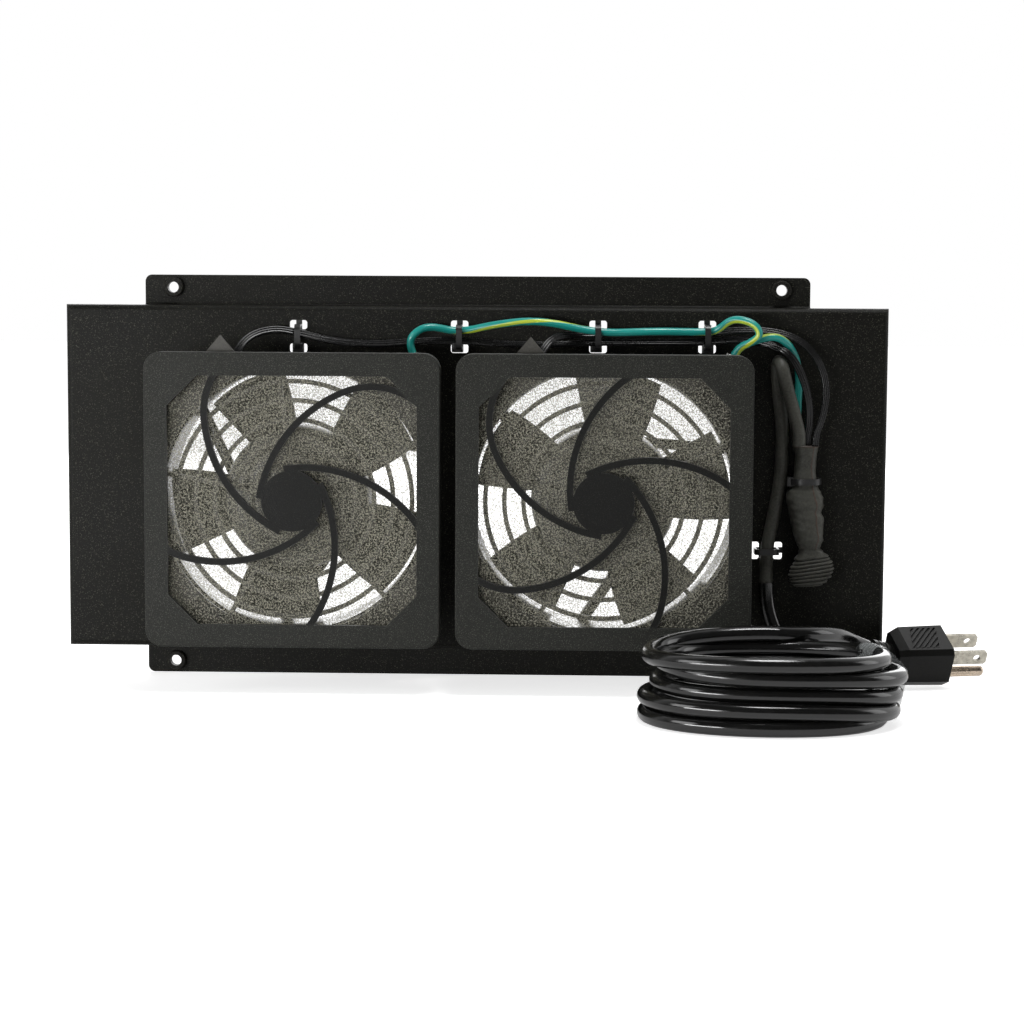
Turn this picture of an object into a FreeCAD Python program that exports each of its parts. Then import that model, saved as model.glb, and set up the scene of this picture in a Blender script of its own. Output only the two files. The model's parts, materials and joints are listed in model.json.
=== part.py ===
"""Rack fan tray: a black sheet steel panel that carries two filtered 120 mm fans and their harness.

Millimetres. +X is to the right of someone facing the filters, -Y points at that person and +Z is up.
The origin is on the floor, under the middle of the tray's box (the free cord is not counted).
"""
import FreeCAD, Part
import math
import os

V = FreeCAD.Vector
X_AXIS, Y_AXIS, Z_AXIS = V(1, 0, 0), V(0, 1, 0), V(0, 0, 1)
BACK = V(0, 1, 0)                    # away from the person who faces the filters
os.makedirs("parts", exist_ok=True)

# ---------------------------------------------------------------- driving dimensions
SHEET = 1.5                          # panel steel
BEND_OUT, BEND_IN = 2.5, 1.0         # bend radii, outside and inside
PANEL_W, PANEL_H = 361.0, 151.4      # front face of the panel
FLANGE_W, OVERALL_H = 294.0, 177.8   # rack flanges; 4 rack units overall
FLANGE_CORNER = 3.0
STACK = 49.0                         # from the panel's front face to the front of the filter covers
DEPTH = 12.0                         # from the panel's front face to the back of the flanges
WALL_SHORT = 3.0                     # the walls stop this far in front of the flanges' back
PANEL_Y = (STACK - DEPTH) / 2        # front face of the panel
BACK_Y = PANEL_Y + DEPTH             # back of the flanges
PANEL_Z = OVERALL_H / 2              # height of the panel's middle
MOUNT_DX, MOUNT_DZ = 268.6, 166.8    # between the rack screws
NUT_R, NUT_H, NUT_SHANK_R, NUT_BORE_R = 4.3, 2.3, 3.2, 2.4

FAN_SIDE, FAN_DEPTH = 119.5, 38.0
FAN_X = {"left": -75.2, "right": 56.3}
FAN_Z = PANEL_Z - 6.1
FAN_HOLES = 104.8                    # square pattern of the fan's corner holes
FAN_CORNER_R = 6.0
FAN_FLANGE = 4.5
DUCT_R, DUCT_MOUTH_R = 56.0, 57.3
FAN_FRONT_Y = PANEL_Y - FAN_DEPTH
SCREW_R, SCREW_HOLE_R = 2.0, 2.2

BLADES = 5
BLADE_TIP_ANGLE, BLADE_ROOT_ANGLE = 42.0, 66.0           # width of one blade, seen along the axle
BLADE_PHASE = {"left": 40.0, "right": 82.0}
BLADE_TIP_R = 54.8
BLADE_DEPTH, BLADE_THICK = 22.0, 2.0
HUB_R, HUB_WALL = 31.0, 2.0
HUB_FRONT_Y, HUB_REAR_Y = FAN_FRONT_Y + 6.0, PANEL_Y - 7.5
MOTOR_BASE_R, MOTOR_BASE_T = 31.0, 3.0
STRUT_W, STRUT_DEPTH, STRUT_OFFSET = 4.6, 5.0, 24.5
STRUTS, STRUT_ANGLE = 3, -124.6
ROTOR_R, ROTOR_WALL = 28.8, 5.0
STATOR_R, STATOR_TEETH = 23.3, 8
AXLE_R, AXLE_CLEAR = 2.5, 0.05
BEARING_R, BEARING_LEN = 6.5, 5.0
TOWER_R = 8.5

GUARD_SIDE, GUARD_BASE = 124.4, 2.0
GUARD_RIM_SIDE, GUARD_RIM_T = 121.2, 1.8
GUARD_RINGS = (50.2, 42.1, 34.0, 25.9, 17.8)
RING_W, RING_T = 1.9, 1.6
SPOKE_ANGLE = 25.0
TAB_X, TAB_W, TAB_RISE = -31.3, 13.4, 7.3

COVER_SIDE, COVER_CORNER, COVER_T = 125.0, 7.3, 2.0
COVER_Y = PANEL_Y - STACK            # front of the filter covers
WINDOW_SIDE, WINDOW_CHAMFER = 105.5, 12.7
SKIRT_T = 1.6
RIBS, RIB_W = 5, 2.8
RIB_TURN = {"left": 0.0, "right": 90.0}
RIB_WIDE = (21.5, 39.4, 58.7)        # x, z and radius of the arc by the hub, seen from the front
RIB_TIGHT_R = 31.5                   # and the radius of the arc by the frame, which it runs into
RIB_ROOT, RIB_JOIN, RIB_END = 243.0, 184.6, 104.0
COVER_HUB_R = 13.0
FIT = 0.3                            # between the covers and what they cap

SLOT_LONG, SLOT_SHORT = 7.7, 4.0     # slots for the cable ties
SLOT_PITCH = 10.2
TIES = (                             # x of a pair of slots, height of the pair, how far the tie stands out
    (-77.8, 151.1, 5.4),
    (-7.0, 151.3, 6.4),
    (53.7, 151.6, 8.6),
    (101.4, 151.8, 8.6),
)
TIE_W, TIE_T, TIE_SPAN = 2.6, 1.0, 10.8
SLEEVE_TIE = (128.4, 58.2, 7.6)      # the one pair of upright slots: x, z, how far the tie stands out

WIRE_R, LEAD_R = 1.65, 1.7
SLEEVE_R = 2.9
CORD_R = 3.3
COIL_C = (122.3, -80.0)              # centre of the coiled cord on the floor
COIL_A, COIL_B = 48.2, 33.7          # half widths of the middle of its outer turns
COIL_TURN_T = 11.0                   # how thick the wall of turns is
COIL_H = 33.0
BAND_Y, BAND_W, BAND_T = -69.5, 14.0, 0.5

PLUG_AT = (182.5, 5.6, 12.8)         # middle of the back of the plug's body
PLUG_HEADING, PLUG_ROLL = 13.0, 26.4
PLUG_LEN, PLUG_W = 24.0, 22.4
PLUG_TOP, PLUG_BOTTOM = 10.6, -11.4
RELIEF_LEN, RELIEF_TILT, RELIEF_TURN = 15.0, 31.0, 14.0


# ---------------------------------------------------------------- helpers
def export(name, shape):
    shape.exportStep("parts/%s.step" % name)
    print("%-22s solids %2d  volume %9.1f  valid %s"
          % (name, len(shape.Solids), shape.Volume, shape.isValid()))


def box(x0, x1, y0, y1, z0, z1):
    return Part.makeBox(x1 - x0, y1 - y0, z1 - z0, V(x0, y0, z0))


def disc(r, y0, y1, x=0.0, z=0.0):
    """A round bar along Y."""
    return Part.makeCylinder(r, y1 - y0, V(x, y0, z), BACK)


def pipe(r_out, r_in, y0, y1, x=0.0, z=0.0):
    return disc(r_out, y0, y1, x, z).cut(disc(r_in, y0 - 1, y1 + 1, x, z))


def fuse(shapes):
    whole = shapes[0].multiFuse(shapes[1:]) if len(shapes) > 1 else shapes[0]
    return whole.removeSplitter()


def group(shapes):
    return Part.makeCompound(shapes)


def edges_along(shape, axis, keep=lambda p: True):
    """Straight edges parallel to an axis whose middle passes the test."""
    found = []
    for edge in shape.Edges:
        if isinstance(edge.Curve, Part.Line) and abs(abs(edge.tangentAt(edge.FirstParameter) * axis) - 1) < 1e-6:
            if keep(edge.CenterOfMass):
                found.append(edge)
    return found


def square_plate(side, corner, y0, y1):
    plate = box(-side / 2, side / 2, y0, y1, -side / 2, side / 2)
    return plate.makeFillet(corner, edges_along(plate, Y_AXIS))


def corners(pitch_x, pitch_z):
    return [(sx * pitch_x / 2, sz * pitch_z / 2) for sx in (-1, 1) for sz in (-1, 1)]


def at_fan(shape, side):
    shape = shape.copy()
    shape.translate(V(FAN_X[side], 0, FAN_Z))
    return shape


def hexagon(across_flats, y0, y1, x, z):
    r = across_flats / math.sqrt(3)
    ring = [V(x + r * math.cos(math.radians(60 * k)), y0, z + r * math.sin(math.radians(60 * k)))
            for k in range(7)]
    return Part.Face(Part.makePolygon(ring)).extrude(V(0, y1 - y0, 0))


def rounded_route(points):
    """Straight runs joined by tangent arcs, each as large as its two runs allow."""
    points = [V(*p) for p in points]
    edges, radii = [], []
    last = points[0]
    for before, here, after in zip(points, points[1:], points[2:]):
        d_in, d_out = (here - before), (after - here)
        reach = 0.45 * min(d_in.Length, d_out.Length)
        d_in.normalize()
        d_out.normalize()
        turn = d_in.getAngle(d_out)
        start, end = here - d_in * reach, here + d_out * reach
        radius = reach / math.tan(turn / 2)
        to_centre = (d_out - d_in).normalize()
        middle = here + to_centre * (radius / math.cos(turn / 2) - radius)
        edges.append(Part.LineSegment(last, start).toShape())
        edges.append(Part.Arc(start, middle, end).toShape())
        radii.append(radius)
        last = end
    edges.append(Part.LineSegment(last, points[-1]).toShape())
    return Part.Wire(edges), radii


def tube(name, points, radius):
    path, radii = rounded_route(points)
    heading = V(*points[1]) - V(*points[0])
    section = Part.Wire(Part.Circle(V(*points[0]), heading, radius).toShape())
    solid = path.makePipeShell([section], True, True)
    share = solid.Volume / (math.pi * radius ** 2 * path.Length)
    print("%-22s length %7.1f  volume share %.4f  radii %s"
          % (name, path.Length, share, " ".join("%.0f" % r for r in radii)))
    return solid


# ---------------------------------------------------------------- panel
def flange(sign):
    """One rack flange and the bend that joins it to the panel's wall; sign is +1 at the top."""
    wall_out = PANEL_H / 2
    wall_in = wall_out - SHEET
    front = BACK_Y - SHEET
    start = BACK_Y - WALL_SHORT - 1.0
    tip = OVERALL_H / 2

    def at(y, h):
        return V(-FLANGE_W / 2, y, PANEL_Z + sign * h)

    def bend(cy, ch, r, y_sign, h_sign):
        return at(cy + y_sign * r * math.sqrt(0.5), ch + h_sign * r * math.sqrt(0.5))

    outer_c = (BACK_Y - BEND_OUT, wall_in + BEND_OUT)
    inner_c = (front - BEND_IN, wall_out + BEND_IN)
    edges = [
        Part.LineSegment(at(start, wall_in), at(outer_c[0], wall_in)),
        Part.Arc(at(outer_c[0], wall_in), bend(*outer_c, BEND_OUT, 1, -1), at(BACK_Y, outer_c[1])),
        Part.LineSegment(at(BACK_Y, outer_c[1]), at(BACK_Y, tip)),
        Part.LineSegment(at(BACK_Y, tip), at(front, tip)),
        Part.LineSegment(at(front, tip), at(front, inner_c[1])),
        Part.Arc(at(front, inner_c[1]), bend(*inner_c, BEND_IN, 1, -1), at(inner_c[0], wall_out)),
        Part.LineSegment(at(inner_c[0], wall_out), at(start, wall_out)),
        Part.LineSegment(at(start, wall_out), at(start, wall_in)),
    ]
    strip = Part.Face(Part.Wire([e.toShape() for e in edges])).extrude(V(FLANGE_W, 0, 0))
    tips = edges_along(strip, Y_AXIS, lambda p: abs(p.z - PANEL_Z) > tip - 0.1)
    return strip.makeFillet(FLANGE_CORNER, tips)


def slot(x, z, wide, high):
    hole = box(x - wide / 2, x + wide / 2, PANEL_Y - 1, PANEL_Y + SHEET + 1, z - high / 2, z + high / 2)
    return hole.makeFillet(1.2, edges_along(hole, Y_AXIS))


def tie_slots():
    slots = []
    for x, z, _ in TIES:
        slots += [slot(x, z + s * SLOT_PITCH / 2, SLOT_LONG, SLOT_SHORT) for s in (-1, 1)]
    x, z, _ = SLEEVE_TIE
    slots += [slot(x + s * SLOT_PITCH / 2, z, SLOT_SHORT, SLOT_LONG) for s in (-1, 1)]
    return slots


def panel():
    half_w, half_h = PANEL_W / 2, PANEL_H / 2
    wall_end = BACK_Y - WALL_SHORT
    skin = box(-half_w, half_w, PANEL_Y, wall_end, PANEL_Z - half_h, PANEL_Z + half_h)
    front_edges = edges_along(skin, X_AXIS, lambda p: p.y < PANEL_Y + 0.1)
    front_edges += edges_along(skin, Z_AXIS, lambda p: p.y < PANEL_Y + 0.1)
    skin = skin.makeFillet(BEND_OUT, front_edges)
    core = box(-half_w + SHEET, half_w - SHEET, PANEL_Y + SHEET, wall_end + 5,
               PANEL_Z - half_h + SHEET, PANEL_Z + half_h - SHEET)
    core_edges = edges_along(core, X_AXIS, lambda p: p.y < PANEL_Y + SHEET + 0.1)
    core_edges += edges_along(core, Z_AXIS, lambda p: p.y < PANEL_Y + SHEET + 0.1)
    core = core.makeFillet(BEND_IN, core_edges)
    body = fuse([skin.cut(core), flange(1), flange(-1)])
    holes = tie_slots()
    for x, z in corners(MOUNT_DX, MOUNT_DZ):
        holes.append(disc(NUT_SHANK_R, BACK_Y - SHEET - 1, BACK_Y + 1, x, PANEL_Z + z))
    for x_fan in FAN_X.values():
        holes.append(disc(DUCT_MOUTH_R - 0.3, PANEL_Y - 1, PANEL_Y + SHEET + 1, x_fan, FAN_Z))
        holes += [disc(SCREW_HOLE_R, PANEL_Y - 1, PANEL_Y + SHEET + 1, x_fan + x, FAN_Z + z)
                  for x, z in corners(FAN_HOLES, FAN_HOLES)]
    return body.cut(holes[0].multiFuse(holes[1:]))


def clinch_nuts():
    """Self-clinching nuts in the flanges: collar at the front, shank through the sheet."""
    nuts = []
    face = BACK_Y - SHEET
    for x, z in corners(MOUNT_DX, MOUNT_DZ):
        collar = disc(NUT_R, face - NUT_H, face, x, PANEL_Z + z)
        rim = [e for e in collar.Edges if isinstance(e.Curve, Part.Circle) and e.CenterOfMass.y < face - 1]
        collar = collar.makeChamfer(0.4, rim)
        nut = collar.fuse(disc(NUT_SHANK_R, face, BACK_Y, x, PANEL_Z + z))
        nuts.append(nut.cut(disc(NUT_BORE_R, face - NUT_H - 1, BACK_Y + 1, x, PANEL_Z + z)))
    return group(nuts)


# ---------------------------------------------------------------- fan
def revolve_y(profile):
    """Turn a closed (radius, y) outline about the fan's axle."""
    ring = [V(r, y, 0) for r, y in profile]
    return Part.Face(Part.makePolygon(ring + ring[:1])).revolve(V(0, 0, 0), Y_AXIS, 360)


def strut(index):
    """A motor strut that leaves the motor base along a tangent and ends in the duct wall."""
    reach = math.sqrt(DUCT_MOUTH_R ** 2 - STRUT_OFFSET ** 2) + 1.0
    bar = box(-STRUT_W / 2, STRUT_W / 2, PANEL_Y - STRUT_DEPTH, PANEL_Y, 0, reach)
    bar = bar.makeFillet(1.2, edges_along(bar, Z_AXIS, lambda p: p.y < PANEL_Y - 1))
    bar.translate(V(-STRUT_OFFSET, 0, 0))
    bar.rotate(V(0, 0, 0), Y_AXIS, 90 - STRUT_ANGLE - index * 360 / STRUTS)
    return bar


def fan_frame():
    """Die-cast frame: duct with flared mouths, two square flanges and the terminal seat."""
    front, rear = FAN_FRONT_Y, PANEL_Y
    wall_r = FAN_SIDE / 2 - 0.4
    pieces = [disc(wall_r, front, rear)]
    pieces.append(square_plate(FAN_SIDE, FAN_CORNER_R, front, front + FAN_FLANGE))
    pieces.append(square_plate(FAN_SIDE, FAN_CORNER_R, rear - FAN_FLANGE, rear))
    seat = box(-48, -36, -8, 8, 36, 49)                                 # terminal seat on the duct
    pieces.append(seat)
    body = fuse(pieces)
    flare = DUCT_MOUTH_R - DUCT_R
    duct = revolve_y([(0, front - 1), (DUCT_MOUTH_R, front - 1), (DUCT_MOUTH_R, front),
                      (DUCT_R + flare * 0.3, front + 2.5), (DUCT_R, front + 6), (DUCT_R, rear - 8),
                      (DUCT_R + flare * 0.4, rear - 2.5), (DUCT_MOUTH_R - 0.3, rear),
                      (DUCT_MOUTH_R - 0.3, rear + 1), (0, rear + 1)])
    body = body.cut(duct)
    drills = [disc(SCREW_HOLE_R, rear - FAN_FLANGE - 1, rear + 1, x, z)
              for x, z in corners(FAN_HOLES, FAN_HOLES)]
    drills += [disc(SCREW_R, front - 1, front + FAN_FLANGE + 1, x, z)
               for x, z in corners(FAN_HOLES, FAN_HOLES)]
    return body.cut(group(drills))


def fan_spider():
    """What the casting holds inside its duct: motor base, bearing tower and struts."""
    rear = PANEL_Y
    base = disc(MOTOR_BASE_R, rear - MOTOR_BASE_T, rear)
    base = base.makeFillet(1.0, [e for e in base.Edges if e.CenterOfMass.y > rear - 0.1
                                 and isinstance(e.Curve, Part.Circle)])
    tower = disc(TOWER_R, HUB_FRONT_Y + 7.0, rear)
    spider = fuse([base, tower] + [strut(k) for k in range(STRUTS)])
    spider = spider.cut(disc(BEARING_R, HUB_FRONT_Y + 6.0, rear - MOTOR_BASE_T + 1.0))
    return spider.cut(fan_frame())


def blade_section(radius):
    """A cambered blade outline in the plane that stands square to the blade's own radius."""
    outward = (radius - HUB_R) / (BLADE_TIP_R - HUB_R)
    angle = BLADE_ROOT_ANGLE + (BLADE_TIP_ANGLE - BLADE_ROOT_ANGLE) * outward
    half = radius * math.tan(math.radians(angle / 2))
    depth = BLADE_DEPTH / 2 * (1.0 - 0.10 * outward)
    camber = 0.16 * half
    mid_y = (HUB_FRONT_Y + HUB_REAR_Y) / 2
    edge = 0.35                                                        # half of the thin leading edge
    length = math.hypot(half, depth)
    nx, ny = depth / length, half / length                             # normal of the chord

    def at(s, y, off):
        return V(s + nx * off, mid_y + y + ny * off, radius)

    def side(off_end, off_mid):
        start, end = at(-half, depth, off_end), at(half, -depth, off_end)
        return start, Part.Arc(start, at(0, 0, off_mid), end), end

    a0, upper, a1 = side(edge, camber + BLADE_THICK / 2)
    b0, lower, b1 = side(-edge, camber - BLADE_THICK / 2)
    return Part.Wire([upper.toShape(), Part.LineSegment(a1, b1).toShape(),
                      lower.toShape(), Part.LineSegment(b0, a0).toShape()])


def impeller(side):
    """Moulded hub cup with five cambered blades whose tips follow the duct."""
    front, rear = HUB_FRONT_Y, HUB_REAR_Y
    cup = disc(HUB_R, front, rear)
    rim = [e for e in cup.Edges if isinstance(e.Curve, Part.Circle) and e.CenterOfMass.y < front + 0.1]
    cup = cup.makeFillet(3.0, rim).cut(disc(HUB_R - HUB_WALL, front + HUB_WALL, rear + 1))
    boss = disc(5.0, front + HUB_WALL - 0.5, front + HUB_WALL + 2.5)
    loft = Part.makeLoft([blade_section(r) for r in (HUB_R - 2.5, 43.0, BLADE_TIP_R + 4.0)], True)
    swept = pipe(BLADE_TIP_R, HUB_R - HUB_WALL / 2, front, rear)
    blade = loft.common(swept)
    blades = []
    for k in range(BLADES):
        turned = blade.copy()
        turned.rotate(V(0, 0, 0), Y_AXIS, 90 - BLADE_PHASE[side] - k * 360 / BLADES)
        blades.append(turned)
    whole = fuse([cup, boss] + blades)
    return whole.cut(disc(AXLE_R, front + HUB_WALL, rear))


def rotor_ring():
    """Laminated rotor pressed into the hub cup."""
    return pipe(ROTOR_R, ROTOR_R - ROTOR_WALL, HUB_FRONT_Y + 5.0, HUB_REAR_Y - 2.0)


def axle():
    return disc(AXLE_R, HUB_FRONT_Y + HUB_WALL, PANEL_Y - MOTOR_BASE_T - 1.0)


def axle_clip():
    """Retaining ring on the axle, behind the rear bearing."""
    rear = PANEL_Y - MOTOR_BASE_T - 1.2
    return pipe(AXLE_R + 1.6, AXLE_R, rear - 0.8, rear).cut(box(-1.2, 1.2, rear - 2, rear + 1, 0, 6))


def bearings():
    front = HUB_FRONT_Y + 7.0
    rear = PANEL_Y - MOTOR_BASE_T - 3.0
    pair = [pipe(BEARING_R, AXLE_R + AXLE_CLEAR, y, y + BEARING_LEN) for y in (front, rear - BEARING_LEN)]
    return group(pair)


def stator():
    """Lamination stack on the tower: a yoke with winding teeth."""
    front, rear = HUB_FRONT_Y + 9.0, HUB_REAR_Y - 5.0
    yoke = pipe(12.0, TOWER_R, front, rear)
    teeth = []
    for k in range(STATOR_TEETH):
        tooth = box(-1.9, 1.9, front, rear, 11.0, STATOR_R - 1.5)
        tooth.rotate(V(0, 0, 0), Y_AXIS, k * 360 / STATOR_TEETH)
        teeth.append(tooth)
    shoes = pipe(STATOR_R, STATOR_R - 2.2, front, rear)
    gaps = []
    for k in range(STATOR_TEETH):
        gap = box(-1.2, 1.2, front - 1, rear + 1, STATOR_R - 4, STATOR_R + 1)
        gap.rotate(V(0, 0, 0), Y_AXIS, (k + 0.5) * 360 / STATOR_TEETH)
        gaps.append(gap)
    return fuse([yoke, shoes.cut(group(gaps))] + teeth)


def windings():
    """One coil round each tooth."""
    front, rear = HUB_FRONT_Y + 9.0, HUB_REAR_Y - 5.0
    coils = []
    for k in range(STATOR_TEETH):
        coil = box(-3.6, 3.6, front - 1.8, rear + 1.8, 12.6, STATOR_R - 3.2)
        coil = coil.makeFillet(1.2, edges_along(coil, Z_AXIS))
        coil = coil.cut(box(-1.9, 1.9, front, rear, 10, STATOR_R))
        coil.rotate(V(0, 0, 0), Y_AXIS, k * 360 / STATOR_TEETH)
        coils.append(coil)
    return group(coils)


TERMINAL_X, TERMINAL_Y = -42.0, 3.5


def terminals():
    """Two spade terminals that stand up from the seat on the duct."""
    blades = []
    for s in (-1, 1):
        blade = box(TERMINAL_X - 1.4, TERMINAL_X + 1.4, s * TERMINAL_Y - 0.25, s * TERMINAL_Y + 0.25, 49, 56)
        blades.append(blade.makeChamfer(0.6, edges_along(blade, Y_AXIS, lambda p: p.z > 55.9)))
    return group(blades)


def fan_plug():
    """The small moulded plug on the terminals; the lead leaves its right side."""
    body = box(-47.5, -36.5, -7.5, 7.5, 49.0, 58.0)
    body = body.makeFillet(1.5, edges_along(body, Y_AXIS, lambda p: p.z > 57.9))
    neck = Part.makeCylinder(2.6, 3.0, V(-36.9, 0, 54.2), X_AXIS)
    return fuse([body, neck]).cut(terminals())


def fan_screws():
    """Pan-head screws from behind the panel into the fan's rear flange."""
    head_y = PANEL_Y + SHEET
    screws = []
    for x, z in corners(FAN_HOLES, FAN_HOLES):
        head = disc(3.9, head_y, head_y + 2.6, x, z)
        head = head.makeFillet(1.4, [e for e in head.Edges if e.CenterOfMass.y > head_y + 2.5
                                     and isinstance(e.Curve, Part.Circle)])
        cross = box(x - 2, x + 2, head_y + 1.4, head_y + 3, z - 0.4, z + 0.4)
        cross = cross.fuse(box(x - 0.4, x + 0.4, head_y + 1.4, head_y + 3, z - 2, z + 2))
        screws.append(head.fuse(disc(SCREW_R, PANEL_Y - 9.5, head_y, x, z)).cut(cross))
    return group(screws)


LUG_T = 0.8
LUG = {"left": (-25.0, 2.2), "right": (25.0, 3.3)}     # lean of the barrel, and its radius


def fan_nuts():
    """Nuts on the fan screws; the one at the upper right also clamps the ground lug."""
    nuts = []
    for x, z in corners(FAN_HOLES, FAN_HOLES):
        face = PANEL_Y - FAN_FLANGE
        if x > 0 and z > 0:
            face -= LUG_T
        nuts.append(hexagon(7.0, face - 3.2, face, x, z).cut(disc(SCREW_R, face - 4, face + 1, x, z)))
    return group(nuts)


def ground_lug(side):
    """Ring terminal under the upper right nut, its barrel leaning away from upright."""
    lean, barrel_r = LUG[side]
    face = PANEL_Y - FAN_FLANGE
    hole = FAN_HOLES / 2
    ring = pipe(3.9, SCREW_R + 0.1, face - LUG_T, face)
    strap = box(-2.0, 2.0, face - LUG_T, face, 3.0, 7.0).cut(disc(SCREW_R + 0.1, face - 2, face + 1))
    barrel = Part.makeCylinder(barrel_r, 4.0, V(0, face - barrel_r, 5.5), Z_AXIS)
    lug = fuse([ring, strap, barrel])
    lug.rotate(V(0, 0, 0), Y_AXIS, lean)
    lug.translate(V(hole, 0, hole))
    return lug


# ---------------------------------------------------------------- filter
def filter_guard():
    """Finger guard that holds the foam: base plate, rim, five rings on five spokes, and a pry tab."""
    back, front = FAN_FRONT_Y, FAN_FRONT_Y - GUARD_BASE
    base = square_plate(GUARD_SIDE, COVER_CORNER, front, back)
    half = GUARD_SIDE / 2
    tab = Part.Face(Part.makePolygon([V(TAB_X - TAB_W / 2, front, half - 0.5), V(TAB_X, front, half + TAB_RISE),
                                      V(TAB_X + TAB_W / 2, front, half - 0.5),
                                      V(TAB_X - TAB_W / 2, front, half - 0.5)])).extrude(V(0, GUARD_BASE, 0))
    rim = square_plate(GUARD_RIM_SIDE, COVER_CORNER - SKIRT_T, front - 4.5, front)
    rim = rim.cut(square_plate(GUARD_RIM_SIDE - 2 * GUARD_RIM_T, COVER_CORNER - SKIRT_T - GUARD_RIM_T,
                               front - 5, front + 1))
    mouth = disc(DUCT_MOUTH_R, front - 1, back + 1)
    body = fuse([base, tab, rim]).cut(mouth)
    ring_front = back - RING_T
    rings = [pipe(r + RING_W / 2, r - RING_W / 2, ring_front, back) for r in GUARD_RINGS]
    centre = disc(9.5, ring_front, back)
    spokes = []
    for k in range(RIBS):
        spoke = box(-RING_W / 2, RING_W / 2, ring_front, back, 9.0, DUCT_MOUTH_R + 0.5)
        spoke.rotate(V(0, 0, 0), Y_AXIS, 90 - SPOKE_ANGLE - k * 360 / RIBS)
        spokes.append(spoke)
    grille = fuse(rings + [centre] + spokes)
    whole = fuse([body, grille])
    sinks = []
    for x, z in corners(FAN_HOLES, FAN_HOLES):
        sinks.append(Part.makeCone(SCREW_R + 2.0, SCREW_R, GUARD_BASE, V(x, front, z), BACK))
    return whole.cut(group(sinks))


def guard_screws():
    """Countersunk screws that hold the guard to the fan's front flange."""
    front = FAN_FRONT_Y - GUARD_BASE
    screws = []
    for x, z in corners(FAN_HOLES, FAN_HOLES):
        head = Part.makeCone(SCREW_R + 2.0, SCREW_R, GUARD_BASE, V(x, front, z), BACK)
        cross = box(x - 2, x + 2, front - 1, front + 1.0, z - 0.4, z + 0.4)
        cross = cross.fuse(box(x - 0.4, x + 0.4, front - 1, front + 1.0, z - 2, z + 2))
        screws.append(head.fuse(disc(SCREW_R, FAN_FRONT_Y, FAN_FRONT_Y + 9.0, x, z)).cut(cross))
    return group(screws)


def filter_foam():
    """Reticulated foam sheet, its corners clipped."""
    side = GUARD_RIM_SIDE - 2 * GUARD_RIM_T - 0.4
    back = FAN_FRONT_Y - GUARD_BASE
    sheet = box(-side / 2, side / 2, COVER_Y + COVER_T + FIT, back, -side / 2, side / 2)
    return sheet.makeChamfer(4.0, edges_along(sheet, Y_AXIS))


def circle_point(circle, degrees, offset):
    """A point on a circle given as (x, z, radius), moved out by an offset."""
    x, z, radius = circle
    a = math.radians(degrees)
    return V(x + (radius + offset) * math.cos(a), COVER_Y, z + (radius + offset) * math.sin(a))


def rib_edge(offset):
    """One side of a rib: a wide arc from the hub, then a tighter one out to the frame."""
    root, join = RIB_ROOT, RIB_JOIN
    x, z, radius = RIB_WIDE
    shift = radius - RIB_TIGHT_R
    turn = math.radians(join)
    tight_circle = (x + shift * math.cos(turn), z + shift * math.sin(turn), RIB_TIGHT_R)
    wide = [circle_point(RIB_WIDE, a, offset) for a in (root, (root + join) / 2, join)]
    tight = [circle_point(tight_circle, a, offset) for a in (join, (join + RIB_END) / 2, RIB_END)]
    return [Part.Arc(*wide).toShape(), Part.Arc(*tight).toShape()], wide[0], tight[-1]


def spiral_rib(index):
    outside, outside_root, outside_end = rib_edge(RIB_W / 2)
    inside, inside_root, inside_end = rib_edge(-RIB_W / 2)
    outline = Part.Wire(outside + [Part.LineSegment(outside_end, inside_end).toShape()]
                        + inside[::-1] + [Part.LineSegment(inside_root, outside_root).toShape()])
    rib = Part.Face(outline).extrude(V(0, COVER_T, 0))
    rib.rotate(V(0, 0, 0), Y_AXIS, index * 360 / RIBS)
    return rib


def filter_cover(turn):
    """Snap-on cover: square frame with a clipped window, skirt, hub and five spiral ribs."""
    skirt_end = FAN_FRONT_Y - GUARD_BASE - FIT
    shell = square_plate(COVER_SIDE, COVER_CORNER, COVER_Y, skirt_end)
    front_rim = [e for e in shell.Edges if abs(e.CenterOfMass.y - COVER_Y) < 0.01]
    shell = shell.makeFillet(0.6, front_rim)
    inner_side = COVER_SIDE - 2 * SKIRT_T
    hollow = square_plate(inner_side, COVER_CORNER - SKIRT_T, COVER_Y + COVER_T, skirt_end + 1)
    window = box(-WINDOW_SIDE / 2, WINDOW_SIDE / 2, COVER_Y - 1, skirt_end, -WINDOW_SIDE / 2, WINDOW_SIDE / 2)
    window = window.makeChamfer(WINDOW_CHAMFER, edges_along(window, Y_AXIS))
    frame = shell.cut(hollow).cut(window)
    hub = disc(COVER_HUB_R, COVER_Y, COVER_Y + COVER_T)
    ribs = [spiral_rib(k) for k in range(RIBS)]
    reach = square_plate(WINDOW_SIDE + 8.0, COVER_CORNER, COVER_Y, COVER_Y + COVER_T)
    cover = fuse([frame, hub] + [rib.common(reach) for rib in ribs])
    cover.rotate(V(0, 0, 0), Y_AXIS, -turn)
    return cover


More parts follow.
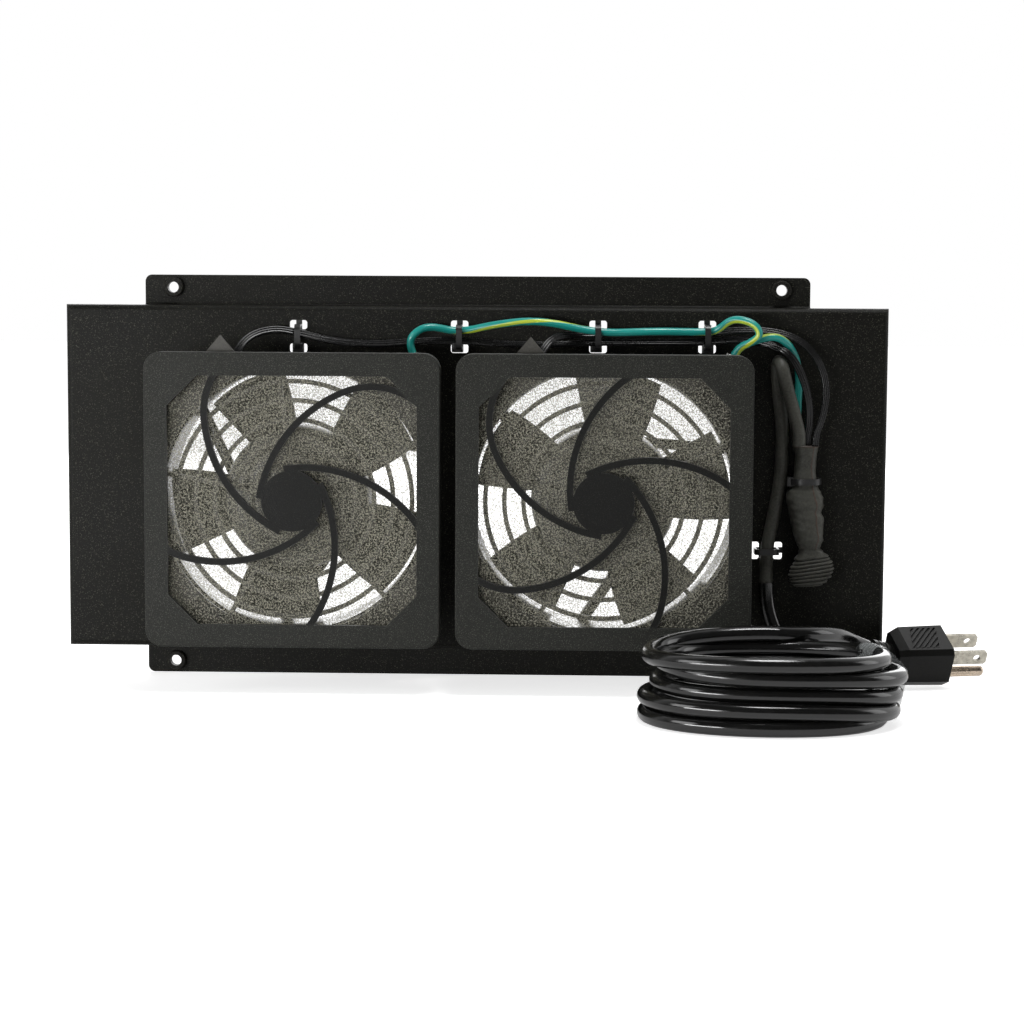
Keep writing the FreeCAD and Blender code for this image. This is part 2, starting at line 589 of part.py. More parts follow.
# ---------------------------------------------------------------- harness
def tie_loop(stand_out, span=TIE_SPAN, corner=1.6):
    """A closed strap round the wires and through two slots, drawn in its own (y, z) plane, middle at z 0."""
    y0, y1 = PANEL_Y - stand_out, PANEL_Y + SHEET + TIE_T
    outside = box(-TIE_W / 2, TIE_W / 2, y0, y1, -span / 2, span / 2)
    outside = outside.makeFillet(corner + TIE_T, edges_along(outside, X_AXIS, lambda p: p.y < PANEL_Y))
    inside = box(-TIE_W, TIE_W, y0 + TIE_T, y1 - TIE_T, -span / 2 + TIE_T, span / 2 - TIE_T)
    inside = inside.makeFillet(corner, edges_along(inside, X_AXIS, lambda p: p.y < PANEL_Y))
    head = box(-2.2, 2.2, y1 - 0.2, y1 + 3.2, -2.6, 2.2)
    head = head.makeFillet(0.5, edges_along(head, Y_AXIS))
    tail = box(-TIE_W / 2, TIE_W / 2, y1, y1 + TIE_T, 2.0, 7.5)
    return fuse([outside.cut(inside), head, tail])


def panel_tie(x, z, stand_out):
    loop = tie_loop(stand_out)
    loop.translate(V(x, 0, z))
    return loop


def sleeve_tie():
    x, z, stand_out = SLEEVE_TIE
    loop = tie_loop(stand_out)
    loop.rotate(V(0, 0, 0), Y_AXIS, 90)
    loop.translate(V(x, 0, z))
    return loop


LEAD_ROUTE = {
    "left": [(-109.1, 0, 137.0), (-105.4, 0, 137.0), (-103.2, 1.4, 144.0), (-98.4, 7.5, 151.6),
             (-88.0, 14.2, 154.7), (-77.8, 16.7, 152.8), (-62.0, 15.6, 149.0), (-43.0, 14.4, 147.8),
             (-25.0, 15.6, 149.4), (-7.0, 17.0, 149.8), (15.0, 14.6, 148.2), (36.0, 14.2, 148.2),
             (53.7, 17.0, 149.3), (78.0, 15.2, 149.4), (101.4, 17.0, 149.6), (116.0, 16.2, 151.2),
             (127.0, 13.0, 149.4), (136.8, 8.0, 145.2), (142.6, 8.6, 135.0), (145.6, 9.6, 124.0),
             (146.0, 11.2, 114.0), (144.9, 12.4, 109.0), (144.9, 12.4, 105.0)],
    "right": [(22.4, 0, 137.0), (26.2, 0, 137.0), (28.6, 1.8, 144.5), (34.0, 7.6, 151.8),
              (43.5, 15.0, 152.8), (53.7, 16.8, 152.8), (78.0, 14.6, 153.2), (101.4, 17.0, 153.4),
              (116.0, 14.8, 155.2), (131.5, 12.8, 154.6), (143.0, 11.5, 150.2), (150.6, 10.4, 140.5),
              (153.3, 9.8, 128.5), (151.2, 9.5, 116.5), (148.4, 9.5, 110.0), (148.4, 9.5, 105.0)],
}
GROUND_ROUTE = {
    "left": [(-26.84, 11.8, 143.9), (-28.48, 11.8, 147.4), (-27.2, 10.8, 152.4), (-20.5, 11.6, 156.4),
             (-7.0, 16.6, 153.2), (10.0, 11.8, 157.2), (29.0, 9.2, 159.0), (53.7, 13.4, 153.2),
             (77.0, 10.0, 154.4), (97.6, 13.1, 154.1), (105.2, 13.1, 154.3), (111.5, 8.0, 160.4),
             (120.6, 4.6, 158.4), (123.8, 4.0, 153.2), (119.5, 5.5, 149.8), (114.38, 9.0, 147.4),
             (112.74, 9.0, 143.9)],
    "right": [(112.74, 12.4, 143.9), (114.38, 12.4, 147.4), (120.5, 10.4, 150.0), (126.6, 8.6, 152.2),
              (131.6, 8.5, 152.2), (136.4, 11.3, 149.0), (140.0, 14.4, 143.2), (141.6, 15.8, 134.0),
              (141.0, 15.8, 120.0), (141.0, 14.9, 110.0), (141.0, 14.9, 105.0)],
}
SLEEVE_ROUTE = [(141.2, 8.4, 105.0), (141.2, 8.4, 110.0), (139.0, 8.2, 119.0), (135.6, 8.4, 130.5),
                (133.4, 8.9, 140.0), (132.0, 15.5, 142.4), (132.4, 15.5, 130.0), (134.6, 15.2, 112.0),
                (134.4, 15.3, 92.0), (131.6, 15.5, 75.0), (128.4, 15.5, 60.0), (128.4, 15.5, 44.5)]

SPLICE = (                           # height, middle x, half width, half depth
    (105.0, 144.0, 6.2, 5.6), (91.5, 144.1, 6.0, 5.2), (87.5, 144.1, 6.2, 5.4), (83.5, 144.2, 8.0, 6.2),
    (76.0, 144.8, 7.6, 6.2), (66.0, 146.2, 6.6, 5.8), (60.6, 146.6, 5.6, 4.8),
)
SPLICE_Y = 11.0
BOOT_TOP, BOOT_BOTTOM, BOOT_RIDGES = 60.6, 43.6, 7
BOOT_X, BOOT_W = 147.3, 10.4


def oval(x, y, z, half_w, half_d):
    big, small = max(half_w, half_d), min(half_w, half_d)
    across = X_AXIS if half_w >= half_d else Y_AXIS
    ellipse = Part.Ellipse(V(x, y, z) + across * big,
                           V(x, y, z) + (Y_AXIS if across == X_AXIS else X_AXIS) * small, V(x, y, z))
    return Part.Wire(ellipse.toShape())


def splice_sleeve():
    """Heat-shrink tube over the joints: narrow at the wires, wide over the crimps."""
    return Part.makeLoft([oval(x, SPLICE_Y, z, w, d) for z, x, w, d in SPLICE], True, True)


def splice_boot():
    """Flared ribbed cap on the end of the splice."""
    sections = []
    steps = 2 * BOOT_RIDGES
    for k in range(steps + 1):
        s = k / steps
        z = BOOT_TOP - s * (BOOT_TOP - BOOT_BOTTOM)
        spread = math.sin(math.pi / 2 * min(1.0, s / 0.62))
        flare = 0.56 + 0.44 * spread - 0.9 * max(0.0, s - 0.62) ** 2 - (0.08 if k == steps else 0.0)
        ridge = 0.35 if k % 2 and k > 2 else 0.0
        x = 146.6 + (BOOT_X - 146.6) * s
        sections.append(oval(x, SPLICE_Y, z, BOOT_W * flare + ridge, 4.9 - 1.3 * s + ridge))
    return Part.makeLoft(sections, True, True)


def splice_tie():
    """Cable tie round the neck of the splice."""
    z0, z1 = 88.2, 90.8
    ring = Part.Face(oval(144.1, SPLICE_Y, z0, 7.3, 6.5)).extrude(V(0, 0, z1 - z0))
    hole = Part.Face(oval(144.1, SPLICE_Y, z0 - 1, 6.15, 5.35)).extrude(V(0, 0, z1 - z0 + 2))
    head = box(136.4, 139.2, 7.6, 11.8, z0 - 0.6, z1 + 0.6)
    return fuse([ring.cut(hole), head.cut(hole)]).cut(splice_sleeve())


# ---------------------------------------------------------------- mains cord
CORD_DOWN = [(128.4, 15.1, 44.5), (128.4, 15.1, 36.0), (132.0, 12.8, 24.0), (138.2, 6.2, 13.6),
             (144.5, -4.6, 7.0), (151.5, -18.5, 4.0), (158.8, -34.0, 3.4), (165.2, -49.0, 3.4),
             (166.6, -61.0, 3.4)]
CORD_TAIL = [(132.5, -45.6, 30.3), (144.0, -40.5, 29.8), (153.0, -31.5, 28.4), (159.0, -20.5, 26.0),
             (163.9, -9.8, 22.4), (171.75, -3.27, 18.34)]


def cord_coil():
    """Outer shape of the coiled cord: a round-edged ring, wider than it is deep."""
    edge = 2.8
    outer = COIL_A + CORD_R
    inner = outer - COIL_TURN_T - 2.0
    section = box(inner, outer, -0.5, 0.5, 0, COIL_H)
    section = section.makeFillet(edge, edges_along(section, Y_AXIS)).common(box(0, 99, -0.5, 0, -1, 99))
    face = [f for f in section.Faces if abs(f.CenterOfMass.y) < 1e-6 and abs(f.normalAt(0, 0).y) > 0.99][0]
    ring = face.revolve(V(0, 0, 0), Z_AXIS, 360)
    squash = FreeCAD.Matrix()
    squash.scale(V(1, (COIL_B + CORD_R) / outer, 1))
    ring = Part.Solid(ring.transformGeometry(squash).Shells[0])
    ring.translate(V(COIL_C[0], COIL_C[1], 0))
    return ring.cut(band_block(0.0))


def band_block(inset):
    """The space inside the clear band's outer face, made smaller by an inset."""
    x1 = COIL_C[0] + COIL_A + CORD_R + BAND_T
    x0 = x1 - COIL_TURN_T - 2.0 - 4.0
    block = box(x0 + inset, x1 - inset, BAND_Y - BAND_W / 2, BAND_Y + BAND_W / 2, inset, COIL_H - inset)
    return block.makeFillet(2.5, edges_along(block, Y_AXIS))


def cord_band():
    """Clear plastic band round the turns."""
    return band_block(0.0).cut(band_block(BAND_T))


# ---------------------------------------------------------------- plug
def place_plug(shape):
    """From the plug's own frame (blades along +X, upper side +Z) to where it lies."""
    shape.rotate(V(0, 0, 0), X_AXIS, PLUG_ROLL)
    shape.rotate(V(0, 0, 0), Z_AXIS, PLUG_HEADING)
    shape.translate(V(*PLUG_AT))
    return shape


def plug_outline(x, half_w, top, bottom, clip):
    """Six-sided section: flat at the blade side, clipped towards the earth pin."""
    ring = [(-half_w, top - 2.0), (-half_w + 2.0, top), (half_w - 2.0, top), (half_w, top - 2.0),
            (half_w, bottom + clip), (half_w - clip, bottom), (-half_w + clip, bottom),
            (-half_w, bottom + clip)]
    return Part.makePolygon([V(x, y, z) for y, z in ring + ring[:1]])


def plug_grip(z, half_w, out):
    """Sunk panel with slanting ridges on the upper or the lower face; out is +1 or -1."""
    low, high = sorted((z - 0.6 * out, z + 1.0 * out))
    corners_xy = [(6.0, -half_w), (18.0, -half_w), (21.0, half_w), (9.0, half_w), (6.0, -half_w)]
    panel = Part.Face(Part.makePolygon([V(x, y, low) for x, y in corners_xy])).extrude(V(0, 0, high - low))
    ridges = []
    for k in range(9):
        low, high = sorted((z - 1.0 * out, z + 0.1 * out))
        ridge = box(-0.5, 0.5, -16, 16, low, high)
        ridge.rotate(V(0, 0, 0), Z_AXIS, -38)
        ridge.translate(V(3.5 + 2.5 * k, 0, 0))
        ridges.append(ridge.common(panel))
    return panel, group([r for r in ridges if r.Volume > 0.1])


def plug_body():
    """Moulded three-pin plug with a ridged grip and a tapered strain relief that bends up to the cord."""
    half, top, bottom = PLUG_W / 2, PLUG_TOP, PLUG_BOTTOM
    shell = Part.makeLoft([plug_outline(0.0, half - 2.0, top - 1.6, bottom + 2.4, 5.0),
                           plug_outline(4.0, half - 0.4, top - 0.2, bottom + 0.6, 5.6),
                           plug_outline(PLUG_LEN, half, top, bottom, 6.0)], True, True)
    relief = Part.makeCone(4.4, 6.4, RELIEF_LEN + 2, V(-RELIEF_LEN, 0, 0), X_AXIS)
    grooves = [pipe_x(8.0, 4.5 + 0.4 * k, 2.4 + 3.2 * k - RELIEF_LEN, 1.2) for k in range(3)]
    relief = relief.cut(group(grooves))
    relief.rotate(V(0, 0, 0), Y_AXIS, RELIEF_TILT)
    relief.rotate(V(0, 0, 0), Z_AXIS, RELIEF_TURN)
    for z, width, out in ((top - 0.1, 7.4, 1), (bottom + 0.3, 4.2, -1)):
        panel, ridges = plug_grip(z, width, out)
        shell = shell.cut(panel).fuse(ridges)
    return shell.fuse(relief).removeSplitter()


def pipe_x(r_out, r_in, x0, length):
    return Part.makeCylinder(r_out, length, V(x0, 0, 0), X_AXIS).cut(
        Part.makeCylinder(r_in, length, V(x0, 0, 0), X_AXIS))


BLADE_Z, PIN_Z = 4.0, -7.9


def plug_blades():
    """Two flat blades, 12.7 apart, with a hole near the tip."""
    blades = []
    for s in (-1, 1):
        blade = box(PLUG_LEN, PLUG_LEN + 17.0, s * 6.35 - 0.75, s * 6.35 + 0.75, BLADE_Z - 3.17, BLADE_Z + 3.17)
        tips = edges_along(blade, Y_AXIS, lambda p: p.x > PLUG_LEN + 16)
        blade = blade.makeChamfer(1.0, tips)
        hole = Part.makeCylinder(1.6, 4.0, V(PLUG_LEN + 12.5, s * 6.35 - 2, BLADE_Z), Y_AXIS)
        blades.append(blade.cut(hole))
    return group(blades)


def plug_pin():
    """Round earth pin with a domed end."""
    pin = Part.makeCylinder(2.4, 20.0, V(PLUG_LEN, 0, PIN_Z), X_AXIS)
    tip = [e for e in pin.Edges if isinstance(e.Curve, Part.Circle) and e.CenterOfMass.x > PLUG_LEN + 19]
    return pin.makeFillet(1.8, tip)


# ---------------------------------------------------------------- build
def build():
    export("panel", panel())
    export("clinch_nuts", clinch_nuts())
    for side in ("left", "right"):
        pieces = {
            "fan_frame": fan_frame(),
            "fan_spider": fan_spider(),
            "fan_impeller": impeller(side),
            "fan_rotor": rotor_ring(),
            "fan_axle": axle(),
            "fan_axle_clip": axle_clip(),
            "fan_bearings": bearings(),
            "fan_stator": stator(),
            "fan_windings": windings(),
            "fan_terminals": terminals(),
            "fan_plug": fan_plug(),
            "fan_screws": fan_screws(),
            "fan_nuts": fan_nuts(),
            "ground_lug": ground_lug(side),
            "filter_guard": filter_guard(),
            "guard_screws": guard_screws(),
            "filter_foam": filter_foam(),
            "filter_cover": filter_cover(RIB_TURN[side]),
        }
        for name, shape in pieces.items():
            export("%s_%s" % (name, side), at_fan(shape, side))
        export("fan_lead_%s" % side, tube("fan_lead_" + side, LEAD_ROUTE[side], LEAD_R))
        export("ground_wire_%s" % side, tube("ground_wire_" + side, GROUND_ROUTE[side], WIRE_R))
    for number, place in enumerate(TIES, 1):
        export("cable_tie_%d" % number, panel_tie(*place))
    export("sleeve_tie", sleeve_tie())
    export("splice_sleeve", splice_sleeve())
    export("splice_tie", splice_tie())
    export("splice_boot", splice_boot())
    export("lead_sleeve", tube("lead_sleeve", SLEEVE_ROUTE, SLEEVE_R))
    export("power_cord", tube("power_cord", CORD_DOWN, CORD_R))
    export("cord_coil", cord_coil())
    export("power_cord_tail", tube("power_cord_tail", CORD_TAIL, CORD_R))
    export("cord_band", cord_band())
    export("plug_body", place_plug(plug_body()))
    export("plug_blades", place_plug(plug_blades()))
    export("plug_pin", place_plug(plug_pin()))


build()
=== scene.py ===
"""Rack fan tray: cord, harness, materials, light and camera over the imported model."""
import bmesh
import bpy
import json
import math
from mathutils import Matrix, Vector


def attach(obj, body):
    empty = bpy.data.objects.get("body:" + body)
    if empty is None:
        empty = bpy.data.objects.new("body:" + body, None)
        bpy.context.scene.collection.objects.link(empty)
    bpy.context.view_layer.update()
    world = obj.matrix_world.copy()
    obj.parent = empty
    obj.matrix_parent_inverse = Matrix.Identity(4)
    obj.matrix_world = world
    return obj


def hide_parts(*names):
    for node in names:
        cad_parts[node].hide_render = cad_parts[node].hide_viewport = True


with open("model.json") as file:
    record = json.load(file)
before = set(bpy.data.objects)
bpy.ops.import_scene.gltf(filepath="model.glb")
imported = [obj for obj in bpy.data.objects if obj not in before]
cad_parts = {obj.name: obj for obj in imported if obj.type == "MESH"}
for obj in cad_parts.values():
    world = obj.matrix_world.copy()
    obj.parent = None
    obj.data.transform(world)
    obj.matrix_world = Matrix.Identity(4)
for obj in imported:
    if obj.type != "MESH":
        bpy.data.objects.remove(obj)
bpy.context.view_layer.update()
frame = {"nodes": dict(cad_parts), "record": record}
NODES = frame["nodes"]
MM = 0.001
SIDES = ("left", "right")
UP = Vector((0, 0, 1))
FULL_TURN = 2 * math.pi


def new_object(name, data):
    obj = bpy.data.objects.new(name, data)
    bpy.context.scene.collection.objects.link(obj)
    return obj


def mesh_object(name, verts, faces):
    """An object of points and faces; the four-sided faces are shaded smooth, end caps stay flat."""
    mesh = bpy.data.meshes.new(name)
    mesh.from_pydata(verts, [], faces)
    for face in mesh.polygons:
        face.use_smooth = len(face.vertices) == 4
    return new_object(name, mesh)


# ---------------------------------------------------------------- camera
CAMERA_AT = (45.5, -1035.5, 174.0)      # mm
YAW, PITCH, ROLL = -1.58, 5.40, 0.32    # degrees: to the right, down, and clockwise
FOCAL, SENSOR = 84.4, 36.0              # mm
CLIP = (0.05, 60.0)                     # m


def make_camera():
    yaw, pitch, roll = (math.radians(a) for a in (YAW, PITCH, ROLL))
    forward = Vector((math.sin(yaw) * math.cos(pitch), math.cos(yaw) * math.cos(pitch), -math.sin(pitch)))
    right = Vector((math.cos(yaw), -math.sin(yaw), 0))
    up = right.cross(forward)
    turned_right = right * math.cos(roll) + up * math.sin(roll)
    turned_up = up * math.cos(roll) - right * math.sin(roll)
    place = Matrix((turned_right, turned_up, -forward)).transposed().to_4x4()
    place.translation = Vector(CAMERA_AT) * MM
    data = bpy.data.cameras.new("camera")
    data.lens = FOCAL
    data.sensor_width = SENSOR
    data.clip_start, data.clip_end = CLIP
    camera = new_object("camera", data)
    camera.matrix_world = place
    bpy.context.scene.camera = camera


# ---------------------------------------------------------------- materials
def put(tree, kind, links=None, **settings):
    """Adds a node. links sets or joins inputs by name or number; settings are the node's own properties."""
    made = tree.nodes.new(kind)
    for key, value in settings.items():
        setattr(made, key, value)
    for key, value in (links or {}).items():
        if isinstance(value, bpy.types.NodeSocket):
            tree.links.new(value, made.inputs[key])
        else:
            made.inputs[key].default_value = value
    return made


def maths(tree, operation, a, b=0.0, clamp=False):
    return put(tree, "ShaderNodeMath", {0: a, 1: b}, operation=operation, use_clamp=clamp).outputs[0]


def ramp(tree, value, low, high, to_low=0.0, to_high=1.0):
    return put(tree, "ShaderNodeMapRange", {"Value": value, "From Min": low, "From Max": high,
                                            "To Min": to_low, "To Max": to_high}).outputs[0]


def mixed(tree, factor, a, b):
    mix = put(tree, "ShaderNodeMix", data_type="RGBA")
    for name, value in (("Factor", factor), ("A", a), ("B", b)):
        for socket in mix.inputs:
            if socket.name == name and (socket.type == "RGBA" or name == "Factor" and socket.type == "VALUE"):
                if isinstance(value, bpy.types.NodeSocket):
                    tree.links.new(value, socket)
                else:
                    socket.default_value = value
                break
    return [s for s in mix.outputs if s.type == "RGBA"][0]


def rgb(color, factor=1.0):
    """A colour socket's value: the colour times a factor, held at white, and opaque."""
    return tuple(min(1.0, c * factor) for c in color) + (1.0,)


def object_coordinates(tree):
    return put(tree, "ShaderNodeTexCoord").outputs["Object"]


def noise(tree, scale, detail=2.0, roughness=0.5, stretch=(1, 1, 1)):
    coord = object_coordinates(tree)
    if stretch != (1, 1, 1):
        coord = put(tree, "ShaderNodeVectorMath", {0: coord, 1: stretch}, operation="MULTIPLY").outputs[0]
    return put(tree, "ShaderNodeTexNoise", {"Vector": coord, "Scale": scale, "Detail": detail,
                                            "Roughness": roughness}).outputs["Fac"]


def new_tree(name):
    material = bpy.data.materials.new(name)
    material.use_nodes = True
    tree = material.node_tree
    tree.nodes.clear()
    return material, tree


FAN_AT = {"left": (-75.2, 82.8), "right": (56.3, 82.8)}          # x and height of each fan's axis, mm
WINDOW_HALF, WINDOW_CORNER, WINDOW_SOFT = 53.3, 14.0, 1.5        # half side, cut corner, soft edge, mm


def in_window(tree):
    """1 inside the windows of the two covers, which are squares with cut corners, and 0 outside them."""
    place = put(tree, "ShaderNodeSeparateXYZ", {0: object_coordinates(tree)})
    middle = (FAN_AT["left"][0] + FAN_AT["right"][0]) / 2 * MM
    apart = (FAN_AT["right"][0] - FAN_AT["left"][0]) / 2 * MM
    x = maths(tree, "ABSOLUTE", maths(tree, "SUBTRACT", place.outputs["X"], middle))
    x = maths(tree, "ABSOLUTE", maths(tree, "SUBTRACT", x, apart))
    z = maths(tree, "ABSOLUTE", maths(tree, "SUBTRACT", place.outputs["Z"], FAN_AT["left"][1] * MM))
    corner = maths(tree, "SUBTRACT", maths(tree, "ADD", x, z), (WINDOW_HALF - WINDOW_CORNER) * MM)
    reach = maths(tree, "MAXIMUM", maths(tree, "MAXIMUM", x, z), corner)
    return ramp(tree, reach, (WINDOW_HALF - WINDOW_SOFT) * MM, WINDOW_HALF * MM, 1.0, 0.0)


GRAIN_LIGHT, GRAIN_SHARE = 1.9, 0.6      # how much paler the grain's tops are, and how far they take over
ROUGH_SPREAD = 0.07                      # how far the roughness wanders to each side
GLINT_EDGE = 0.06                        # from the noise at which a painted glint starts to where it is full
EDGE_SHEEN_FROM, EDGE_SHEEN_TO = 0.96, 0.80          # cosine of an edge's turn where the pale edge starts, and where it is full; the pale edge is wear and a painted highlight


def surface(name, color, rough=0.5, metal=0.0, specular=0.5, patch=(60.0, 0.15),
            grain=(1500.0, 0.15, 0.03), glint_speck=None, wear_and_edge_sheen=None, seam=None, painted_rib_shade=0.0):
    """A solid finish: slow colour patches, fine grain that bumps and shades, bright specks that are painted
    glints, and paler edges that are wear and a painted highlight.

    patch is (scale, amount), grain (scale, strength of the bump, its height in mm),
    the painted glints (scale, threshold, gain) and the pale edges (radius in mm, colour, amount).
    seam colours what the mesh's own "seam" attribute marks.
    The last argument paints shade: it darkens what lies inside the covers' windows, their ribs and hub.
    """
    material, tree = new_tree(name)
    slow = noise(tree, patch[0], 3.0)
    fine = noise(tree, grain[0], 3.0, 0.6)
    base = mixed(tree, ramp(tree, slow, 0.3, 0.7), rgb(color, 1 - patch[1]), rgb(color, 1 + patch[1]))
    base = mixed(tree, ramp(tree, fine, 0.35, 0.65, 0.0, GRAIN_SHARE), base, rgb(color, GRAIN_LIGHT))
    both = maths(tree, "ADD", slow, fine)
    roughness = ramp(tree, both, 0.7, 1.3, rough - ROUGH_SPREAD, rough + ROUGH_SPREAD)
    # Painted glints: bright specks that stand for light catching the coat's fine texture.
    if glint_speck:
        scale, threshold, gain = glint_speck
        glint_dots = ramp(tree, noise(tree, scale, 1.0), threshold, threshold + GLINT_EDGE)
        base = mixed(tree, glint_dots, base, rgb(color, gain))
    # Painted shade: the ribs and hub inside the covers' windows are darkened towards black.
    if painted_rib_shade:
        base = mixed(tree, maths(tree, "MULTIPLY", in_window(tree), painted_rib_shade), base, rgb((0, 0, 0)))
    # Paler edges: partly wear, partly a painted highlight along edges that catch the light.
    if wear_and_edge_sheen:
        radius, edge_sheen_color, amount = wear_and_edge_sheen
        bevel = put(tree, "ShaderNodeBevel", {"Radius": radius * MM}, samples=4)
        flat = put(tree, "ShaderNodeNewGeometry").outputs["Normal"]
        facing = put(tree, "ShaderNodeVectorMath", {0: bevel.outputs[0], 1: flat}, operation="DOT_PRODUCT")
        edge = ramp(tree, facing.outputs["Value"], EDGE_SHEEN_FROM, EDGE_SHEEN_TO, 0.0, amount)
        base = mixed(tree, maths(tree, "MULTIPLY", edge, ramp(tree, fine, 0.3, 0.6)), base, rgb(edge_sheen_color))
    if seam:
        marked = put(tree, "ShaderNodeAttribute", attribute_name="seam").outputs["Fac"]
        base = mixed(tree, marked, base, rgb(seam))
    bump = put(tree, "ShaderNodeBump", {"Height": fine, "Strength": grain[1], "Distance": grain[2] * MM})
    shader = put(tree, "ShaderNodeBsdfPrincipled", {
        "Base Color": base, "Roughness": roughness, "Metallic": metal, "Specular IOR Level": specular,
        "Normal": bump.outputs[0]})
    put(tree, "ShaderNodeOutputMaterial", {"Surface": shader.outputs[0]})
    return material


FOAM_STRAND = (0.310, 0.300, 0.242)
FOAM_CELLS, FOAM_CLUMPS = 1450.0, 450.0  # noise scales of the pores and of the slower unevenness
FOAM_DENSITY = 0.60                      # how far the densest strands hide what lies behind


def foam_material():
    """Open-cell foam: fine strands that let light through, with see-through pores between them."""
    material, tree = new_tree("foam")
    cells = noise(tree, FOAM_CELLS, 1.0, 0.6)
    clumps = noise(tree, FOAM_CLUMPS, 1.0)
    web = maths(tree, "ADD", cells, maths(tree, "MULTIPLY", maths(tree, "SUBTRACT", clumps, 0.5), 0.10))
    strands = ramp(tree, web, 0.45, 0.60, 0.0, FOAM_DENSITY)
    color = mixed(tree, ramp(tree, cells, 0.40, 0.62), rgb(FOAM_STRAND, 0.6), rgb(FOAM_STRAND, 1.7))
    bump = put(tree, "ShaderNodeBump", {"Height": cells, "Strength": 0.6, "Distance": 0.3 * MM})
    solid = put(tree, "ShaderNodeBsdfPrincipled", {"Base Color": color, "Roughness": 0.9,
                                                   "Specular IOR Level": 0.15, "Normal": bump.outputs[0]})
    glow = put(tree, "ShaderNodeBsdfTranslucent", {"Color": rgb(FOAM_STRAND, 0.8)})
    strand = put(tree, "ShaderNodeMixShader", {0: 0.35, 1: solid.outputs[0], 2: glow.outputs[0]})
    clear = put(tree, "ShaderNodeBsdfTransparent")
    mix = put(tree, "ShaderNodeMixShader", {0: strands, 1: clear.outputs[0], 2: strand.outputs[0]})
    put(tree, "ShaderNodeOutputMaterial", {"Surface": mix.outputs[0]})
    return material


STRIPE_TURNS, STRIPE_WIDTH, STRIPE_EDGE = 9.0, 0.13, 0.03        # turns in a metre; shares of the way round


def striped(name, ground, stripe):
    """Insulation with one stripe that winds slowly round the wire.

    The wire's mesh carries "around", the share of the way round, and "along", the metres from its start.
    """
    material, tree = new_tree(name)
    around = put(tree, "ShaderNodeAttribute", attribute_name="around").outputs["Fac"]
    along = put(tree, "ShaderNodeAttribute", attribute_name="along").outputs["Fac"]
    waver = maths(tree, "MULTIPLY", noise(tree, 25.0, 1.0), 0.5)
    wound = maths(tree, "ADD", around, maths(tree, "MULTIPLY", along, STRIPE_TURNS))
    phase = maths(tree, "FRACT", maths(tree, "ADD", wound, waver))
    off = maths(tree, "ABSOLUTE", maths(tree, "SUBTRACT", phase, 0.5))
    band = ramp(tree, off, STRIPE_WIDTH / 2, STRIPE_WIDTH / 2 + STRIPE_EDGE, 1.0, 0.0)
    fine = noise(tree, 900.0)
    base = mixed(tree, band, rgb(ground), rgb(stripe))
    base = mixed(tree, ramp(tree, noise(tree, 80.0), 0.4, 0.7, 0.0, 0.25), base, rgb(ground, 0.6))
    bump = put(tree, "ShaderNodeBump", {"Height": fine, "Strength": 0.08, "Distance": 0.03 * MM})
    shader = put(tree, "ShaderNodeBsdfPrincipled", {"Base Color": base, "Roughness": 0.28,
                                                    "Specular IOR Level": 0.55, "Normal": bump.outputs[0]})
    put(tree, "ShaderNodeOutputMaterial", {"Surface": shader.outputs[0]})
    return material


FILM_COLOR = (0.40, 0.42, 0.42)
FILM_SHOWN = 0.5                         # how much of the film's gloss and haze shows over what lies behind


def clear_film():
    """Thin clear film with soft crinkles."""
    material, tree = new_tree("band_clear")
    folds = noise(tree, 160.0, 3.0, 0.6, (1, 3, 1))
    bump = put(tree, "ShaderNodeBump", {"Height": folds, "Strength": 0.9, "Distance": 0.9 * MM})
    gloss = put(tree, "ShaderNodeBsdfPrincipled", {"Base Color": rgb(FILM_COLOR), "Roughness": 0.10,
                                                   "Specular IOR Level": 0.9, "Normal": bump.outputs[0]})
    clear = put(tree, "ShaderNodeBsdfTransparent")
    fresnel = put(tree, "ShaderNodeFresnel", {"IOR": 1.5, "Normal": bump.outputs[0]}).outputs[0]
    haze = ramp(tree, folds, 0.58, 0.70, 0.01, 0.20)
    amount = maths(tree, "MULTIPLY", maths(tree, "ADD", fresnel, haze), FILM_SHOWN, clamp=True)
    mix = put(tree, "ShaderNodeMixShader", {0: amount, 1: clear.outputs[0], 2: gloss.outputs[0]})
    put(tree, "ShaderNodeOutputMaterial", {"Surface": mix.outputs[0]})
    return material


